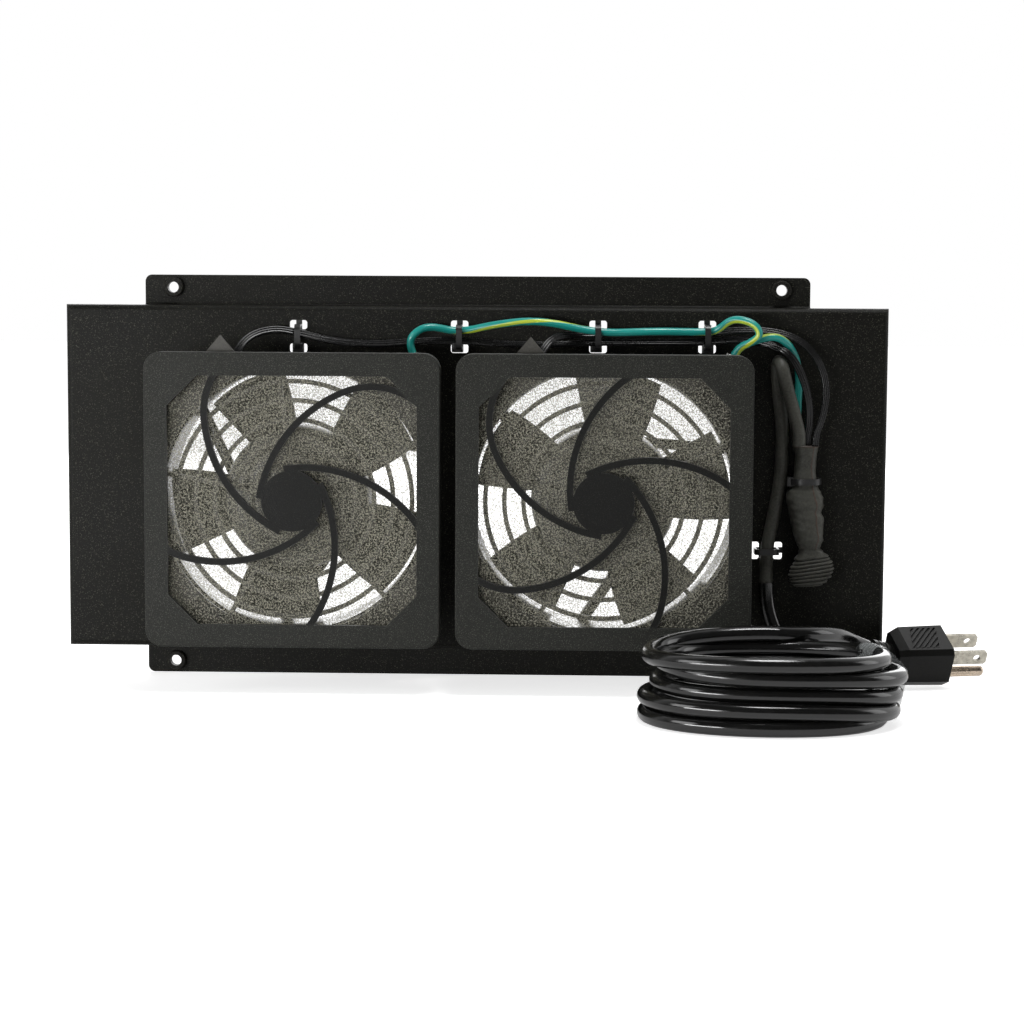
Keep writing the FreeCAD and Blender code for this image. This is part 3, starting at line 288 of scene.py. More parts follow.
BLACK = (0.0038, 0.0038, 0.0028)
MATERIALS = {
    # The panel's coat carries painted glints, and pale edges that are partly a painted highlight.
    "panel_black": surface("panel_black", BLACK, rough=0.42, specular=0.125,
                           grain=(2000.0, 0.9, 0.22), patch=(25.0, 0.25),
                           glint_speck=(2300.0, 0.64, 14.0), wear_and_edge_sheen=(0.8, (0.05, 0.045, 0.038), 0.8)),
    "zinc_steel": surface("zinc_steel", (0.45, 0.45, 0.42), rough=0.33, metal=1.0, grain=(900.0, 0.1, 0.02)),
    "fan_black": surface("fan_black", (0.012, 0.012, 0.011), rough=0.24, specular=0.8,
                         grain=(700.0, 0.3, 0.08), wear_and_edge_sheen=(0.5, (0.10, 0.10, 0.09), 0.4)),
    "impeller_black": surface("impeller_black", (0.024, 0.0235, 0.021), rough=0.34, specular=0.6),
    "rotor_steel": surface("rotor_steel", (0.35, 0.35, 0.34), rough=0.4, metal=1.0),
    "axle_steel": surface("axle_steel", (0.50, 0.50, 0.50), rough=0.25, metal=1.0),
    "bearing_steel": surface("bearing_steel", (0.60, 0.60, 0.60), rough=0.2, metal=1.0),
    "lamination": surface("lamination", (0.16, 0.16, 0.16), rough=0.5, metal=0.8,
                          grain=(1200.0, 0.3, 0.05)),
    "copper_wire": surface("copper_wire", (0.45, 0.17, 0.07), rough=0.3, metal=0.9,
                           grain=(2600.0, 0.6, 0.15)),
    "terminal_brass": surface("terminal_brass", (0.62, 0.48, 0.22), rough=0.28, metal=1.0),
    "moulded_black": surface("moulded_black", (0.014, 0.014, 0.013), rough=0.38, grain=(1400.0, 0.15, 0.04)),
    "screw_black": surface("screw_black", (0.030, 0.030, 0.028), rough=0.36, metal=0.5),
    "tinned": surface("tinned", (0.55, 0.55, 0.53), rough=0.3, metal=1.0),
    "guard_grey": surface("guard_grey", (0.040, 0.038, 0.032), rough=0.5, grain=(1300.0, 0.2, 0.06)),
    "foam": foam_material(),
    # The covers paint shade over their ribs and hub inside the windows.
    "cover_grey": surface("cover_grey", (0.0102, 0.0106, 0.0088), rough=0.48, specular=0.19,
                          grain=(2000.0, 0.9, 0.20), patch=(30.0, 0.12), painted_rib_shade=0.75,
                          glint_speck=(2300.0, 0.60, 6.0), wear_and_edge_sheen=(0.45, (0.13, 0.13, 0.12), 0.7)),
    "lead_black": surface("lead_black", (0.004, 0.004, 0.004), rough=0.26, specular=0.34,
                          grain=(500.0, 0.08, 0.04)),
    "ground_green": striped("ground_green", (0.012, 0.30, 0.26), (0.50, 0.62, 0.04)),
    "tie_black": surface("tie_black", (0.011, 0.011, 0.011), rough=0.36, grain=(900.0, 0.1, 0.03)),
    "sleeve_grey": surface("sleeve_grey", (0.044, 0.044, 0.037), rough=0.50, specular=0.3,
                           grain=(1100.0, 0.25, 0.06), patch=(90.0, 0.3), seam=(0.07, 0.022, 0.012)),
    "cord_black": surface("cord_black", (0.0028, 0.0028, 0.0026), rough=0.17, specular=0.66,
                          patch=(40.0, 0.3), grain=(350.0, 0.10, 0.10)),
    "band_clear": clear_film(),
    "plug_black": surface("plug_black", (0.006, 0.006, 0.0055), rough=0.36, specular=0.18,
                          grain=(1500.0, 0.25, 0.06), patch=(50.0, 0.2)),
    "blade_nickel": surface("blade_nickel", (0.36, 0.34, 0.29), rough=0.30, metal=1.0,
                            grain=(420.0, 0.2, 0.03), patch=(120.0, 0.2)),
    "pin_brass": surface("pin_brass", (0.46, 0.38, 0.30), rough=0.30, metal=1.0, patch=(120.0, 0.2)),
}


def paint_frame():
    """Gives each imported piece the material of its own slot."""
    for part in frame["record"]["subparts"]:
        obj = NODES[part["node"]]
        obj.data.materials.clear()
        obj.data.materials.append(MATERIALS[part["material_slot"]])
        for face in obj.data.polygons:
            face.material_index = 0


# ---------------------------------------------------------------- wires
def spline_curve(name, points, radius=0.0):
    """A NURBS line led by its control points, in mm, with a round section if it has a radius."""
    curve = bpy.data.curves.new(name, "CURVE")
    curve.dimensions = "3D"
    curve.resolution_u = 12
    curve.bevel_depth = radius * MM
    curve.bevel_resolution = 6
    curve.use_fill_caps = radius > 0
    spline = curve.splines.new("NURBS")
    spline.points.add(len(points) - 1)
    for slot, point in zip(spline.points, points):
        slot.co = (point[0] * MM, point[1] * MM, point[2] * MM, 1.0)
    spline.order_u = 3
    spline.use_endpoint_u = True
    return new_object(name, curve)


def spline_points(points):
    """Points along the NURBS line of a route."""
    guide = spline_curve("guide", points)
    mesh = bpy.data.meshes.new_from_object(guide.evaluated_get(bpy.context.evaluated_depsgraph_get()))
    line = [v.co.copy() for v in mesh.vertices]
    bpy.data.meshes.remove(mesh)
    bpy.data.objects.remove(guide)
    return line


def sweep(name, points, outline, start_up=UP, twist=lambda s: 0.0):
    """A tube of any closed outline (list of (across, up) in mm) carried along a route.

    It doesn't roll by itself; twist gives the roll, in radians, for a distance along the route in metres.
    """
    line = spline_points(points)
    ends = list(zip(line[:1] + line[:-1], line[1:] + line[-1:]))
    tangents = [(after - before).normalized() for before, after in ends]
    up = (start_up - tangents[0] * start_up.dot(tangents[0])).normalized()
    verts, around, along = [], [], []
    length = 0.0
    count = len(outline)
    for i, (place, heading) in enumerate(zip(line, tangents)):
        if i:
            up = tangents[i - 1].rotation_difference(heading) @ up
            length += (place - line[i - 1]).length
        roll = Matrix.Rotation(twist(length), 3, heading)
        lift = roll @ up
        across = heading.cross(lift)
        for k, (u, v) in enumerate(outline):
            verts.append(place + (across * u + lift * v) * MM)
            around.append(k / count)
            along.append(length)
    faces = []
    for i in range(len(line) - 1):
        for k in range(count):
            a, b = i * count + k, i * count + (k + 1) % count
            faces.append((a, b, b + count, a + count))
    faces.append(tuple(range(count))[::-1])
    faces.append(tuple(range((len(line) - 1) * count, len(line) * count)))
    obj = mesh_object(name, verts, faces)
    for label, values in (("around", around), ("along", along)):
        obj.data.attributes.new(label, "FLOAT", "POINT").data.foreach_set("value", values)
    return obj


def finish_piece(obj, slot_name, node, body="tray"):
    """Gives a new piece its material, its body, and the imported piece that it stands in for."""
    obj.data.materials.append(MATERIALS[slot_name])
    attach(obj, body)
    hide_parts(node)
    return obj


def circle(radius, count=16):
    return [(radius * math.sin(FULL_TURN * k / count), radius * math.cos(FULL_TURN * k / count))
            for k in range(count)]


# The routes of the solids, in mm.
LEAD_ROUTE = {
    "left": [(-109.1, 0, 137.0), (-105.4, 0, 137.0), (-103.2, 1.4, 144.0), (-98.4, 7.5, 151.6),
             (-88.0, 14.2, 154.7), (-77.8, 16.7, 152.8), (-62.0, 15.6, 149.0), (-43.0, 14.4, 147.8),
             (-25.0, 15.6, 149.4), (-7.0, 17.0, 149.8), (15.0, 14.6, 148.2), (36.0, 14.2, 148.2),
             (53.7, 17.0, 149.3), (78.0, 15.2, 149.4), (101.4, 17.0, 149.6), (116.0, 16.2, 151.2),
             (127.0, 13.0, 149.4), (136.8, 8.0, 145.2), (142.6, 8.6, 135.0), (145.6, 9.6, 124.0),
             (146.0, 11.2, 114.0), (144.9, 12.4, 109.0), (144.9, 12.4, 105.0)],
    "right": [(22.4, 0, 137.0), (26.2, 0, 137.0), (28.6, 1.8, 144.5), (34.0, 7.6, 151.8),
              (43.5, 15.0, 152.8), (53.7, 16.8, 152.8), (78.0, 14.6, 153.2), (101.4, 17.0, 153.4),
              (116.0, 14.8, 155.2), (131.5, 12.8, 154.6), (143.0, 11.5, 150.2), (150.6, 10.4, 140.5),
              (153.3, 9.8, 128.5), (151.2, 9.5, 116.5), (148.4, 9.5, 110.0), (148.4, 9.5, 105.0)],
}
GROUND_ROUTE = {
    "left": [(-26.84, 11.8, 143.9), (-28.48, 11.8, 147.4), (-27.2, 10.8, 152.4), (-20.5, 11.6, 156.4),
             (-7.0, 16.6, 153.2), (10.0, 11.8, 157.2), (29.0, 9.2, 159.0), (53.7, 13.4, 153.2),
             (77.0, 10.0, 154.4), (97.6, 13.1, 154.1), (105.2, 13.1, 154.3), (111.5, 8.0, 160.4),
             (120.6, 4.6, 158.4), (123.8, 4.0, 153.2), (119.5, 5.5, 149.8), (114.38, 9.0, 147.4),
             (112.74, 9.0, 143.9)],
    "right": [(112.74, 12.4, 143.9), (114.38, 12.4, 147.4), (120.5, 10.4, 150.0), (126.6, 8.6, 152.2),
              (131.6, 8.5, 152.2), (136.4, 11.3, 149.0), (140.0, 14.4, 143.2), (141.6, 15.8, 134.0),
              (141.0, 15.8, 120.0), (141.0, 14.9, 110.0), (141.0, 14.9, 105.0)],
}
WIRE_R = 1.65
LEAD_CORES, LEAD_PITCH, LEAD_CORE_R = 3, 1.02, 0.72
LEAD_TWIST, LEAD_WAVES = 0.25, 30.0      # radians to each side, and radians of the wave in a metre
VALLEY = 46.0                            # degrees above the middle line at which two ridges meet


def ridged(cores, pitch, radius, steps=7):
    """Outline of a flat lead: round cores side by side in one skin."""
    top = []
    for core in range(cores):
        middle = (core - (cores - 1) / 2) * pitch
        first = 0.0 if core == 0 else VALLEY
        last = 180.0 if core == cores - 1 else 180.0 - VALLEY
        for k in range(steps):
            angle = math.radians(180.0 - first - (last - first) * k / (steps - 1))
            top.append((middle + radius * math.cos(angle), radius * math.sin(angle)))
    return top + [(x, -z) for x, z in reversed(top[1:-1])]


def make_wires():
    for side in SIDES:
        wire = sweep("ground_insulation_" + side, GROUND_ROUTE[side], circle(WIRE_R))
        finish_piece(wire, "ground_green", "ground_wire_" + side)
        lead = sweep("twin_lead_" + side, LEAD_ROUTE[side], ridged(LEAD_CORES, LEAD_PITCH, LEAD_CORE_R),
                     start_up=Vector((0, 1, 0)), twist=lambda s: LEAD_TWIST * math.sin(s * LEAD_WAVES))
        finish_piece(lead, "lead_black", "fan_lead_" + side)


# ---------------------------------------------------------------- cord
CORD_R = 3.3
COIL_C = (122.3, -80.0)                  # x and y of the coil's middle
CORD_DOWN = [(128.4, 15.1, 44.5), (128.4, 15.1, 36.0), (132.0, 12.8, 24.0), (138.2, 6.2, 13.6),
             (144.5, -4.6, 7.0), (151.5, -18.5, 4.0), (158.8, -34.0, 3.4), (165.2, -49.0, 3.4)]
# How far each turn stands from the coil's middle and its height there, turn after turn from the floor up.
TURN_RIGHT = ((45.5, 3.4), (50.5, 5.8), (51.5, 12.4), (53.5, 19.6), (46.5, 26.4))
TURN_FRONT = ((36.5, 3.4), (36.8, 10.0), (33.4, 15.8), (35.6, 22.4), (38.0, 28.4))
TURN_LEFT = ((50.0, 3.4), (50.0, 10.2), (45.0, 16.4), (43.0, 24.6), (48.5, 27.0))
TURN_BACK = ((34.5, 3.4), (34.5, 10.0), (33.5, 18.6), (36.0, 24.4), (34.2, 30.8))
FULLNESS = 0.12                          # makes the ends of a turn rounder than an ellipse's
TURN_STEPS = 16
COIL_FROM, COIL_TO = -24.0, 1712.0       # degrees, from the right side towards the viewer
CORD_TAIL = [(132.5, -45.6, 30.3), (144.0, -40.5, 29.8), (153.0, -31.5, 28.4), (159.0, -20.5, 26.0),
             (163.9, -9.8, 22.4), (171.75, -3.27, 18.34)]
BAND_Y, BAND_W = -69.5, 14.0             # middle and width of the clear band
BAND_REACH = 25.0                        # the band holds what lies further right of the coil's middle
FILM_ROWS, FILM_COLUMNS, RIM_STEPS = 29, 144, 24
FILM_GAP, FILM_CRINKLE, FILM_T = 0.35, 0.22, 0.15                # off the turns, crinkles' height, thickness
FLOOR_GAP = 0.3


def eased(a, b, share):
    """From a to b, starting and ending softly."""
    return a + (b - a) * (1 - math.cos(math.pi * share)) / 2


def coil_point(degrees):
    """A point of the coil; the angle runs from the right side to the front, the left and the back."""
    turn = math.radians(degrees)
    last = len(TURN_RIGHT) - 1

    def stop(quarter):
        ring = (TURN_RIGHT, TURN_FRONT, TURN_LEFT, TURN_BACK)[quarter % 4]
        return ring[max(0, min(last, quarter // 4))]

    quarter = degrees / 90.0
    low = math.floor(quarter)
    height = eased(stop(low)[1], stop(low + 1)[1], quarter - low)
    even = 2 * math.floor(quarter / 2)
    reach_x = eased(stop(even)[0], stop(even + 2)[0], (quarter - even) / 2)
    odd = 2 * math.floor((quarter - 1) / 2) + 1
    reach_y = eased(stop(odd)[0], stop(odd + 2)[0], (quarter - odd) / 2)
    across = reach_x * math.cos(turn) * (1 + FULLNESS * math.sin(turn) ** 2)
    return (COIL_C[0] + across, COIL_C[1] - reach_y * math.sin(turn), height)


def hull(points):
    """Convex outline of points in a plane, anticlockwise."""
    ordered = sorted(set(points))
    chains = []
    for run in (ordered, ordered[::-1]):
        chain = []
        for p in run:
            while len(chain) > 1 and ((chain[-1][0] - chain[-2][0]) * (p[1] - chain[-2][1])
                                      - (chain[-1][1] - chain[-2][1]) * (p[0] - chain[-2][0])) <= 0:
                chain.pop()
            chain.append(p)
        chains += chain[:-1]
    return chains


def film_ring(line, y, clearance, count):
    """Where a film drawn tight round the right side of the coil runs, in the plane at y."""
    rim = []
    for a, b in zip(line, line[1:]):
        if (a.y - y) * (b.y - y) < 0 and a.x > (COIL_C[0] + BAND_REACH) * MM:
            share = (y - a.y) / (b.y - a.y)
            x, z = a.x + (b.x - a.x) * share, a.z + (b.z - a.z) * share
            rim += [(x + across, z + up) for across, up in circle(clearance, RIM_STEPS)]
    outline = hull(rim)
    middle = (sum(p[0] for p in outline) / len(outline), sum(p[1] for p in outline) / len(outline))
    steps = [math.dist(p, outline[(i + 1) % len(outline)]) for i, p in enumerate(outline)]
    start = max(range(len(outline)), key=lambda i: outline[i][0])
    ring, total = [], sum(steps)
    walked, index = 0.0, start
    for k in range(count):
        while walked + steps[index % len(outline)] < total * k / count:
            walked += steps[index % len(outline)]
            index += 1
        gone = total * k / count - walked
        a, b = outline[index % len(outline)], outline[(index + 1) % len(outline)]
        share = gone / steps[index % len(outline)]
        ring.append((a[0] + (b[0] - a[0]) * share, a[1] + (b[1] - a[1]) * share))
    return ring, middle


def make_film(line):
    """Thin crinkled film drawn round the turns."""
    verts, faces = [], []
    for row in range(FILM_ROWS):
        y = (BAND_Y + BAND_W * (row / (FILM_ROWS - 1) - 0.5)) * MM
        ring, middle = film_ring(line, y, (CORD_R + FILM_GAP) * MM, FILM_COLUMNS)
        for k, (x, z) in enumerate(ring):
            crinkle = math.sin(k * 0.61 + row * 0.9) * math.sin(k * 0.23 - row * 0.4 + 1.0)
            out = Vector((x - middle[0], 0, z - middle[1])).normalized() * FILM_CRINKLE * (1 + crinkle) * MM
            verts.append((x + out.x, y, max(FLOOR_GAP * MM, z + out.z)))
    for row in range(FILM_ROWS - 1):
        for k in range(FILM_COLUMNS):
            a, b = row * FILM_COLUMNS + k, row * FILM_COLUMNS + (k + 1) % FILM_COLUMNS
            faces.append((a, b, b + FILM_COLUMNS, a + FILM_COLUMNS))
    film = mesh_object("clear_band", verts, faces)
    thick = film.modifiers.new("thickness", "SOLIDIFY")
    thick.thickness, thick.offset = FILM_T * MM, 0.0
    return finish_piece(film, "band_clear", "cord_band")


def make_cord():
    """The mains cord from the grey sleeve to the plug, and the clear band round its coil."""
    count = round((COIL_TO - COIL_FROM) / 360.0 * TURN_STEPS)
    coil = [coil_point(COIL_FROM + (COIL_TO - COIL_FROM) * k / count) for k in range(count + 1)]
    route = CORD_DOWN + coil + CORD_TAIL
    line = spline_points(route)
    cord = spline_curve("mains_cord", route, CORD_R)
    cord.data.materials.append(MATERIALS["cord_black"])
    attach(cord, "tray")
    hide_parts("power_cord", "cord_coil", "power_cord_tail")
    film = make_film(line)


# ---------------------------------------------------------------- splice and ties
SPLICE_Y = 11.0
# Each row of the two outlines is a height, the left edge, the right edge and half of the depth there.
SLEEVE_EDGES = (
    (105.0, 138.4, 150.1, 5.6), (104.2, 138.9, 149.8, 5.5), (101.4, 139.6, 149.3, 5.3),
    (94.5, 139.5, 148.8, 5.1), (88.4, 139.0, 149.5, 5.3), (86.7, 137.8, 150.2, 5.6),
    (84.9, 136.6, 151.3, 6.0), (82.3, 136.2, 152.2, 6.2), (78.8, 136.6, 152.6, 6.2),
    (76.1, 137.3, 151.7, 6.0), (73.5, 138.0, 152.7, 6.1), (68.3, 139.1, 152.6, 6.1),
    (63.9, 140.3, 152.7, 5.7), (62.1, 141.3, 151.8, 5.1), (60.2, 142.2, 151.3, 4.7))
# Waves of the sleeve's skin: height as a share of its size, radians in a mm down it, waves round it, start.
SLEEVE_LUMPS = ((0.012, 0.55, 2.0, 0.0), (0.009, 1.3, -3.0, 1.0), (0.006, 2.1, 5.0, 0.0))
SLEEVE_RAGGED = 0.25                     # how far the cut top end waves up and down
SEAM_AT = math.radians(-62.0)
SEAM_WANDER, SEAM_WIDTH, SEAM_RISE = 0.05, 0.035, 0.03           # radians, radians, share of the size
SEAM_MARK, RIM_MARK = 0.75, 0.25         # how strongly the seam and the top rim take the seam's colour
BOOT_EDGES = (
    (60.8, 142.6, 151.2, 4.4), (58.6, 142.0, 152.8, 4.7), (56.0, 140.1, 155.2, 5.1),
    (52.5, 138.3, 157.1, 5.2), (49.8, 137.6, 157.7, 5.1), (47.2, 137.9, 156.8, 4.8),
    (44.9, 138.9, 154.6, 4.3), (43.7, 140.2, 152.6, 3.7))
BOOT_RIDGES, BOOT_GROOVE, BOOT_TILT = 7, 1.15, 0.16
RIDGES_FROM, RIDGES_TO, BOOT_LOWEST = 55.6, 44.4, 43.0
COLLAR_ROWS, COLLAR_STEP = 13, 0.4       # the smooth collar above the ridges
BOOT_END = 0.2                           # height of the rounding at the bottom


def between(rows, z):
    """The row at a height, read smoothly between the rows of a table."""
    spans = list(zip(rows, rows[1:]))
    above, below = next((pair for pair in spans if z >= pair[1][0]), spans[-1])
    share = max(0.0, min(1.0, (above[0] - z) / (above[0] - below[0])))
    return [eased(a, b, share) for a, b in zip(above[1:], below[1:])]


def loft(name, rings, seam=None):
    """A closed skin over rings of points in mm; seam gives a mark for each point."""
    count = len(rings[0])
    verts = [Vector(point) * MM for ring in rings for point in ring]
    faces = []
    for i in range(len(rings) - 1):
        for k in range(count):
            a, b = i * count + k, i * count + (k + 1) % count
            faces.append((a, a + count, b + count, b))
    faces += [tuple(range(count)), tuple(range((len(rings) - 1) * count, len(rings) * count))[::-1]]
    obj = mesh_object(name, verts, faces)
    if seam:
        obj.data.attributes.new("seam", "FLOAT", "POINT").data.foreach_set("value", seam)
    return obj


def rounded(across, power=2.5):
    """Cosine or sine pulled out towards a box with round corners."""
    return math.copysign(abs(across) ** (2 / power), across)


def make_sleeve(rows=110, count=120):
    """Heat-shrunk tube: it follows the joints inside, and its seam stands up as a fine line."""
    rings, seam = [], []
    top, bottom = SLEEVE_EDGES[0][0], SLEEVE_EDGES[-1][0]
    for i in range(rows + 1):
        z = top + (bottom - top) * i / rows
        left, right, depth = between(SLEEVE_EDGES, z)
        ragged = SLEEVE_RAGGED if i == 0 else 0.0
        rim = RIM_MARK if i < 2 else 0.0
        ring = []
        for k in range(count):
            turn = FULL_TURN * k / count
            lump = sum(height * math.sin(per_mm * z + per_turn * turn + start)
                       for height, per_mm, per_turn, start in SLEEVE_LUMPS)
            away = (turn - SEAM_AT - SEAM_WANDER * math.sin(0.5 * z) + math.pi) % FULL_TURN - math.pi
            line = math.exp(-(away / SEAM_WIDTH) ** 2)
            size = 1 + lump + SEAM_RISE * line
            ring.append(((left + right) / 2 + (right - left) / 2 * rounded(math.cos(turn)) * size,
                         SPLICE_Y + depth * rounded(math.sin(turn)) * size,
                         z + ragged * math.sin(3 * turn)))
            seam.append(max(SEAM_MARK * line, rim))
        rings.append(ring)
    finish_piece(loft("shrunk_sleeve", rings, seam), "sleeve_grey", "splice_sleeve")


def make_boot(steps=10, count=96):
    """Flared cap with rounded ridges that lean; the collar's top stays level and the bottom nearly so."""
    rings = []
    top, bottom = BOOT_EDGES[0][0], BOOT_EDGES[-1][0]
    ridged_length, rows_of_ridges = RIDGES_FROM - RIDGES_TO, BOOT_RIDGES * steps
    rows = [top - COLLAR_STEP * i for i in range(COLLAR_ROWS)]
    rows += [RIDGES_FROM - ridged_length * i / rows_of_ridges for i in range(rows_of_ridges + 1)]
    rows += [bottom + BOOT_END, bottom]
    for z in rows:
        left, right, depth = between(BOOT_EDGES, z)
        phase = (RIDGES_FROM - z) / ridged_length * BOOT_RIDGES
        in_ridges = 0 <= phase <= BOOT_RIDGES
        groove = BOOT_GROOVE * (1 - abs(math.sin(math.pi * phase))) ** 1.6 if in_ridges else 0.0
        shrink = 0.9 if z == bottom else 1.0
        below_top = max(0.0, min(1.0, (60.0 - z) / 5.0))
        above_bottom = max(0.25, min(1.0, (z - 41.0) / 8.0))
        lean = BOOT_TILT * below_top * above_bottom
        ring = []
        for k in range(count):
            turn = FULL_TURN * k / count
            x = ((right - left) / 2 - groove) * rounded(math.cos(turn)) * shrink
            y = (depth - groove) * rounded(math.sin(turn)) * shrink
            ring.append(((left + right) / 2 + x, SPLICE_Y + y, max(z + lean * x, BOOT_LOWEST)))
        rings.append(ring)
    finish_piece(loft("ribbed_boot", rings), "sleeve_grey", "splice_boot")


TIE_PLACES = ((-77.8, 151.1), (-7.0, 151.3), (53.7, 151.6), (101.4, 151.8))      # x and height
PANEL_FRONT, SLOT_DROP = 18.5, 5.0       # y of the panel's face; from a tie's middle down to its lower slot
HEAD_WIDE, HEAD_DEEP, HEAD_HIGH = 5.4, 3.2, 5.4
HEAD_TAPER, HEAD_ROUND, HEAD_GAP = 0.82, 0.7, 0.05
HEAD_SHIFT = ((0.0, -0.1), (-0.8, 0.8), (-0.8, 0.8), (0.2, -0.1))                # aside and up, tie by tie


def make_tie_heads():
    """The locking head of each tie, drawn up over the lower slot."""
    for number, ((x, z), (aside, rise)) in enumerate(zip(TIE_PLACES, HEAD_SHIFT), 1):
        skin = bmesh.new()
        bmesh.ops.create_cube(skin, size=1.0)
        for vert in skin.verts:
            taper = HEAD_TAPER if vert.co.y < 0 else 1.0
            wide, deep, high = vert.co
            vert.co = Vector((wide * HEAD_WIDE * taper, deep * HEAD_DEEP, high * HEAD_HIGH * taper))
        bmesh.ops.bevel(skin, geom=list(skin.edges), offset=HEAD_ROUND, segments=4, profile=0.6,
                        affect="EDGES")
        middle = Vector((x + aside, PANEL_FRONT - HEAD_DEEP / 2 - HEAD_GAP, z - SLOT_DROP + rise))
        for vert in skin.verts:
            vert.co = (vert.co + middle) * MM
        mesh = bpy.data.meshes.new("tie_head_%d" % number)
        skin.to_mesh(mesh)
        skin.free()
        for face in mesh.polygons:
            face.use_smooth = True
        mesh.materials.append(MATERIALS["tie_black"])
        head = new_object("tie_head_%d" % number, mesh)
        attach(head, "tray")


# ---------------------------------------------------------------- impellers
BLADES, BLADE_PHASE = 5, {"left": 43.3, "right": 83.6}           # degrees of the first blade
BLADE_ANGLES = (47.0, 39.5)              # width of a blade at its root and at its tip, seen along the axle
BLADE_SWEEP = 2.5                        # degrees by which the root lies behind the tip
HUB_R, BLADE_TIP_R, ROOT_SINK = 31.0, 54.8, 1.2
HUB_Y, BLADE_DEPTHS = (-13.5, 11.0), (21.5, 19.5)
HUB_WALL, BORE_R, BOSS_R, BOSS_DEEP = 2.0, 2.6, 5.0, 4.5
BLADE_THICK, BLADE_EDGE = 1.33, 0.25     # half of the thickness, and the share of it that the edges keep
BLADE_BOW = 0.14                         # how far a blade bows to the rear, as a share of its depth
BLADE_ROWS, BLADE_COLUMNS = 9, 15


def blade_point(phase, out, across, side):
    """A point of a blade: out runs from root to tip, across from -1 to 1, side is 1 or -1 for a face."""
    radius = HUB_R - ROOT_SINK + (BLADE_TIP_R - HUB_R + ROOT_SINK) * out
    width = math.radians(BLADE_ANGLES[0] + (BLADE_ANGLES[1] - BLADE_ANGLES[0]) * out)
    depth = BLADE_DEPTHS[0] + (BLADE_DEPTHS[1] - BLADE_DEPTHS[0]) * out
    angle = math.radians(phase - BLADE_SWEEP * (1 - out)) - width / 2 * across
    thick = BLADE_THICK * (BLADE_EDGE + (1 - BLADE_EDGE) * (1 - across ** 2))
    bow = BLADE_BOW * depth * (1 - across ** 2)
    y = sum(HUB_Y) / 2 - depth / 2 * across + bow + side * thick
    return radius * math.cos(angle), y, radius * math.sin(angle)


def lathe(profile, count=96):
    """Vertices and faces of a closed (radius, y) outline turned round the fan's axis."""
    verts = [(r * math.cos(FULL_TURN * k / count), y, r * math.sin(FULL_TURN * k / count))
             for k in range(count) for r, y in profile]
    size = len(profile)
    faces = []
    for k in range(count):
        here, there = k * size, (k + 1) % count * size
        faces += [(here + i, here + (i + 1) % size, there + (i + 1) % size, there + i) for i in range(size)]
    return verts, faces


def add_blade(verts, faces, phase):
    """Adds one blade, a front and a rear grid of points joined along all four edges."""
    base = len(verts)
    last_row, last_column = BLADE_ROWS - 1, BLADE_COLUMNS - 1
    for face in (1, -1):
        for row in range(BLADE_ROWS):
            for column in range(BLADE_COLUMNS):
                verts.append(blade_point(phase, row / last_row, 2 * column / last_column - 1, face))

    def corner(face, row, column):
        return base + (face * BLADE_ROWS + row) * BLADE_COLUMNS + column

    for row in range(last_row):
        for column in range(last_column):
            for face in (0, 1):
                quad = [corner(face, row, column), corner(face, row, column + 1),
                        corner(face, row + 1, column + 1), corner(face, row + 1, column)]
                faces.append(tuple(quad if face else quad[::-1]))
        for column in (0, last_column):
            faces.append((corner(0, row, column), corner(0, row + 1, column),
                          corner(1, row + 1, column), corner(1, row, column)))
    for column in range(last_column):
        for row in (last_row, 0):
            faces.append((corner(0, row, column), corner(0, row, column + 1),
                          corner(1, row, column + 1), corner(1, row, column)))


def make_impeller(side):
    """Hub cup with its blades: each blade narrows towards the tip and is bowed and thin at both edges."""
    front, rear = HUB_Y
    inside = front + HUB_WALL
    outside = [(BORE_R, front), (HUB_R - 3, front), (HUB_R - 0.9, front + 0.9), (HUB_R, front + 3)]
    hollow = [(HUB_R, rear), (HUB_R - HUB_WALL, rear), (HUB_R - HUB_WALL, inside), (BOSS_R, inside)]
    boss = [(BOSS_R, front + BOSS_DEEP), (BORE_R, front + BOSS_DEEP)]
    verts, faces = lathe(outside + hollow + boss)
    for blade in range(BLADES):
        add_blade(verts, faces, BLADE_PHASE[side] + 360.0 * blade / BLADES)
    x, z = FAN_AT[side]
    placed = [((vx + x) * MM, vy * MM, (vz + z) * MM) for vx, vy, vz in verts]
    obj = mesh_object("impeller_" + side, placed, faces)
    skin = bmesh.new()
    skin.from_mesh(obj.data)
    bmesh.ops.recalc_face_normals(skin, faces=skin.faces)
    skin.to_mesh(obj.data)
    skin.free()
    obj.data.set_sharp_from_angle(angle=math.radians(40))
    finish_piece(obj, "impeller_black", "fan_impeller_" + side, "impeller_" + side)


# ---------------------------------------------------------------- light and stage
# Each lamp's name, place, aim, width and height in metres, and watts.
LAMPS = (
    ("key", (-0.66, -0.42, 0.36), (-0.20, 0, 0.08), (0.4, 0.4), 1.9),
    ("low", (-0.50, -0.70, 0.09), (-0.05, 0, 0.01), (0.5, 0.10), 3.5),
    ("top", (0.16, -0.22, 0.90), (0.08, -0.03, 0.05), (0.28, 0.28), 4.5),
    ("side", (1.2, 0.05, 0.4), (0.15, 0, 0.08), (0.5, 0.7), 2),
    ("back", (0.0, 1.2, 0.6), (0.0, 0, 0.08), (1.6, 1.0), 12),
)
FLOOR_HALF, FLOOR_Z = 6.0, -0.0002       # m
GLOW_NEAR, GLOW_FAR = (0.25, 0.72), (0.9, 1.0)   # distance from the origin in m, and the floor's glow there
ROOM_DARK, ROOM_FILL = 0.07, 0.08        # what a mirror sees behind the camera; the light from all round


def area_light(name, place, target, size, power):
    data = bpy.data.lights.new(name, "AREA")
    data.shape = "RECTANGLE"
    data.size, data.size_y = size
    data.energy = power
    lamp = new_object(name, data)
    lamp.location = Vector(place)
    lamp.rotation_euler = (Vector(target) - Vector(place)).to_track_quat("-Z", "Y").to_euler()


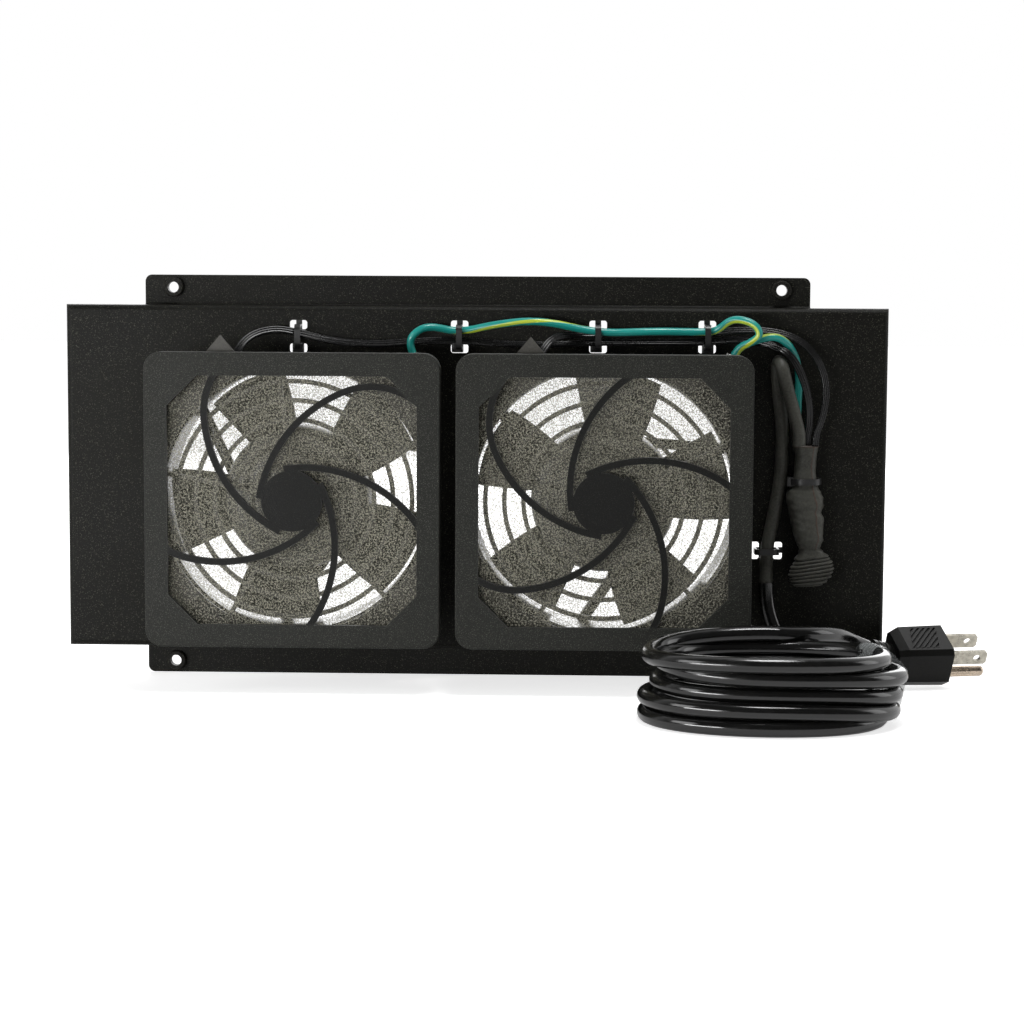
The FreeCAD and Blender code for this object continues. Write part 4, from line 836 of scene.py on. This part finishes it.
def seen_by(tree, path, mirrored):
    """1 for what the camera sees straight or through glass, mirrored for mirrors, 0 for falling light."""
    return maths(tree, "MAXIMUM", path.outputs["Is Camera Ray"],
                 maths(tree, "MAXIMUM", mirrored, path.outputs["Is Transmission Ray"]))


def make_floor():
    """White ground that glows for the camera and fades into the world's white with the distance."""
    mesh = bpy.data.meshes.new("floor")
    corners = [(x * FLOOR_HALF, y * FLOOR_HALF, 0) for x, y in ((-1, -1), (1, -1), (1, 1), (-1, 1))]
    mesh.from_pydata(corners, [], [(0, 1, 2, 3)])
    floor = new_object("floor", mesh)
    floor.location.z = FLOOR_Z
    material, tree = new_tree("floor_white")
    path = put(tree, "ShaderNodeLightPath")
    behind = ramp(tree, seen_by(tree, path, path.outputs["Is Glossy Ray"]), 0.0, 1.0, 0.0, 0.25)
    away = put(tree, "ShaderNodeVectorMath", {0: object_coordinates(tree)}, operation="LENGTH")
    white = ramp(tree, away.outputs["Value"], GLOW_NEAR[0], GLOW_FAR[0], GLOW_NEAR[1], GLOW_FAR[1])
    glow = maths(tree, "MAXIMUM", behind, maths(tree, "MULTIPLY", path.outputs["Is Camera Ray"], white))
    shade = put(tree, "ShaderNodeBsdfPrincipled", {"Base Color": (0.82, 0.82, 0.82, 1), "Roughness": 0.7,
                                                   "Specular IOR Level": 0.2, "Emission Color": (1, 1, 1, 1),
                                                   "Emission Strength": glow})
    put(tree, "ShaderNodeOutputMaterial", {"Surface": shade.outputs[0]})
    mesh.materials.append(material)


def make_world():
    """White studio: bright behind the tray, dark in the mirrors that face the camera's side."""
    world = bpy.data.worlds.new("studio")
    bpy.context.scene.world = world
    world.use_nodes = True
    tree = world.node_tree
    tree.nodes.clear()
    path = put(tree, "ShaderNodeLightPath")
    ahead = put(tree, "ShaderNodeSeparateXYZ", {0: put(tree, "ShaderNodeTexCoord").outputs["Generated"]})
    room = ramp(tree, ahead.outputs["Y"], -0.2, 0.5, ROOM_DARK, 1.0)
    seen = seen_by(tree, path, maths(tree, "MULTIPLY", path.outputs["Is Glossy Ray"], room))
    strength = maths(tree, "MAXIMUM", seen, ROOM_FILL)
    back = put(tree, "ShaderNodeBackground", {"Color": (1, 1, 1, 1), "Strength": strength})
    put(tree, "ShaderNodeOutputWorld", {"Surface": back.outputs[0]})


def make_stage():
    make_floor()
    make_world()
    for lamp in LAMPS:
        area_light(*lamp)
    bpy.context.scene.view_settings.view_transform = "Standard"


make_camera()
paint_frame()
make_cord()
make_wires()
make_sleeve()
make_boot()
make_tie_heads()
for side in SIDES:
    make_impeller(side)
make_stage()
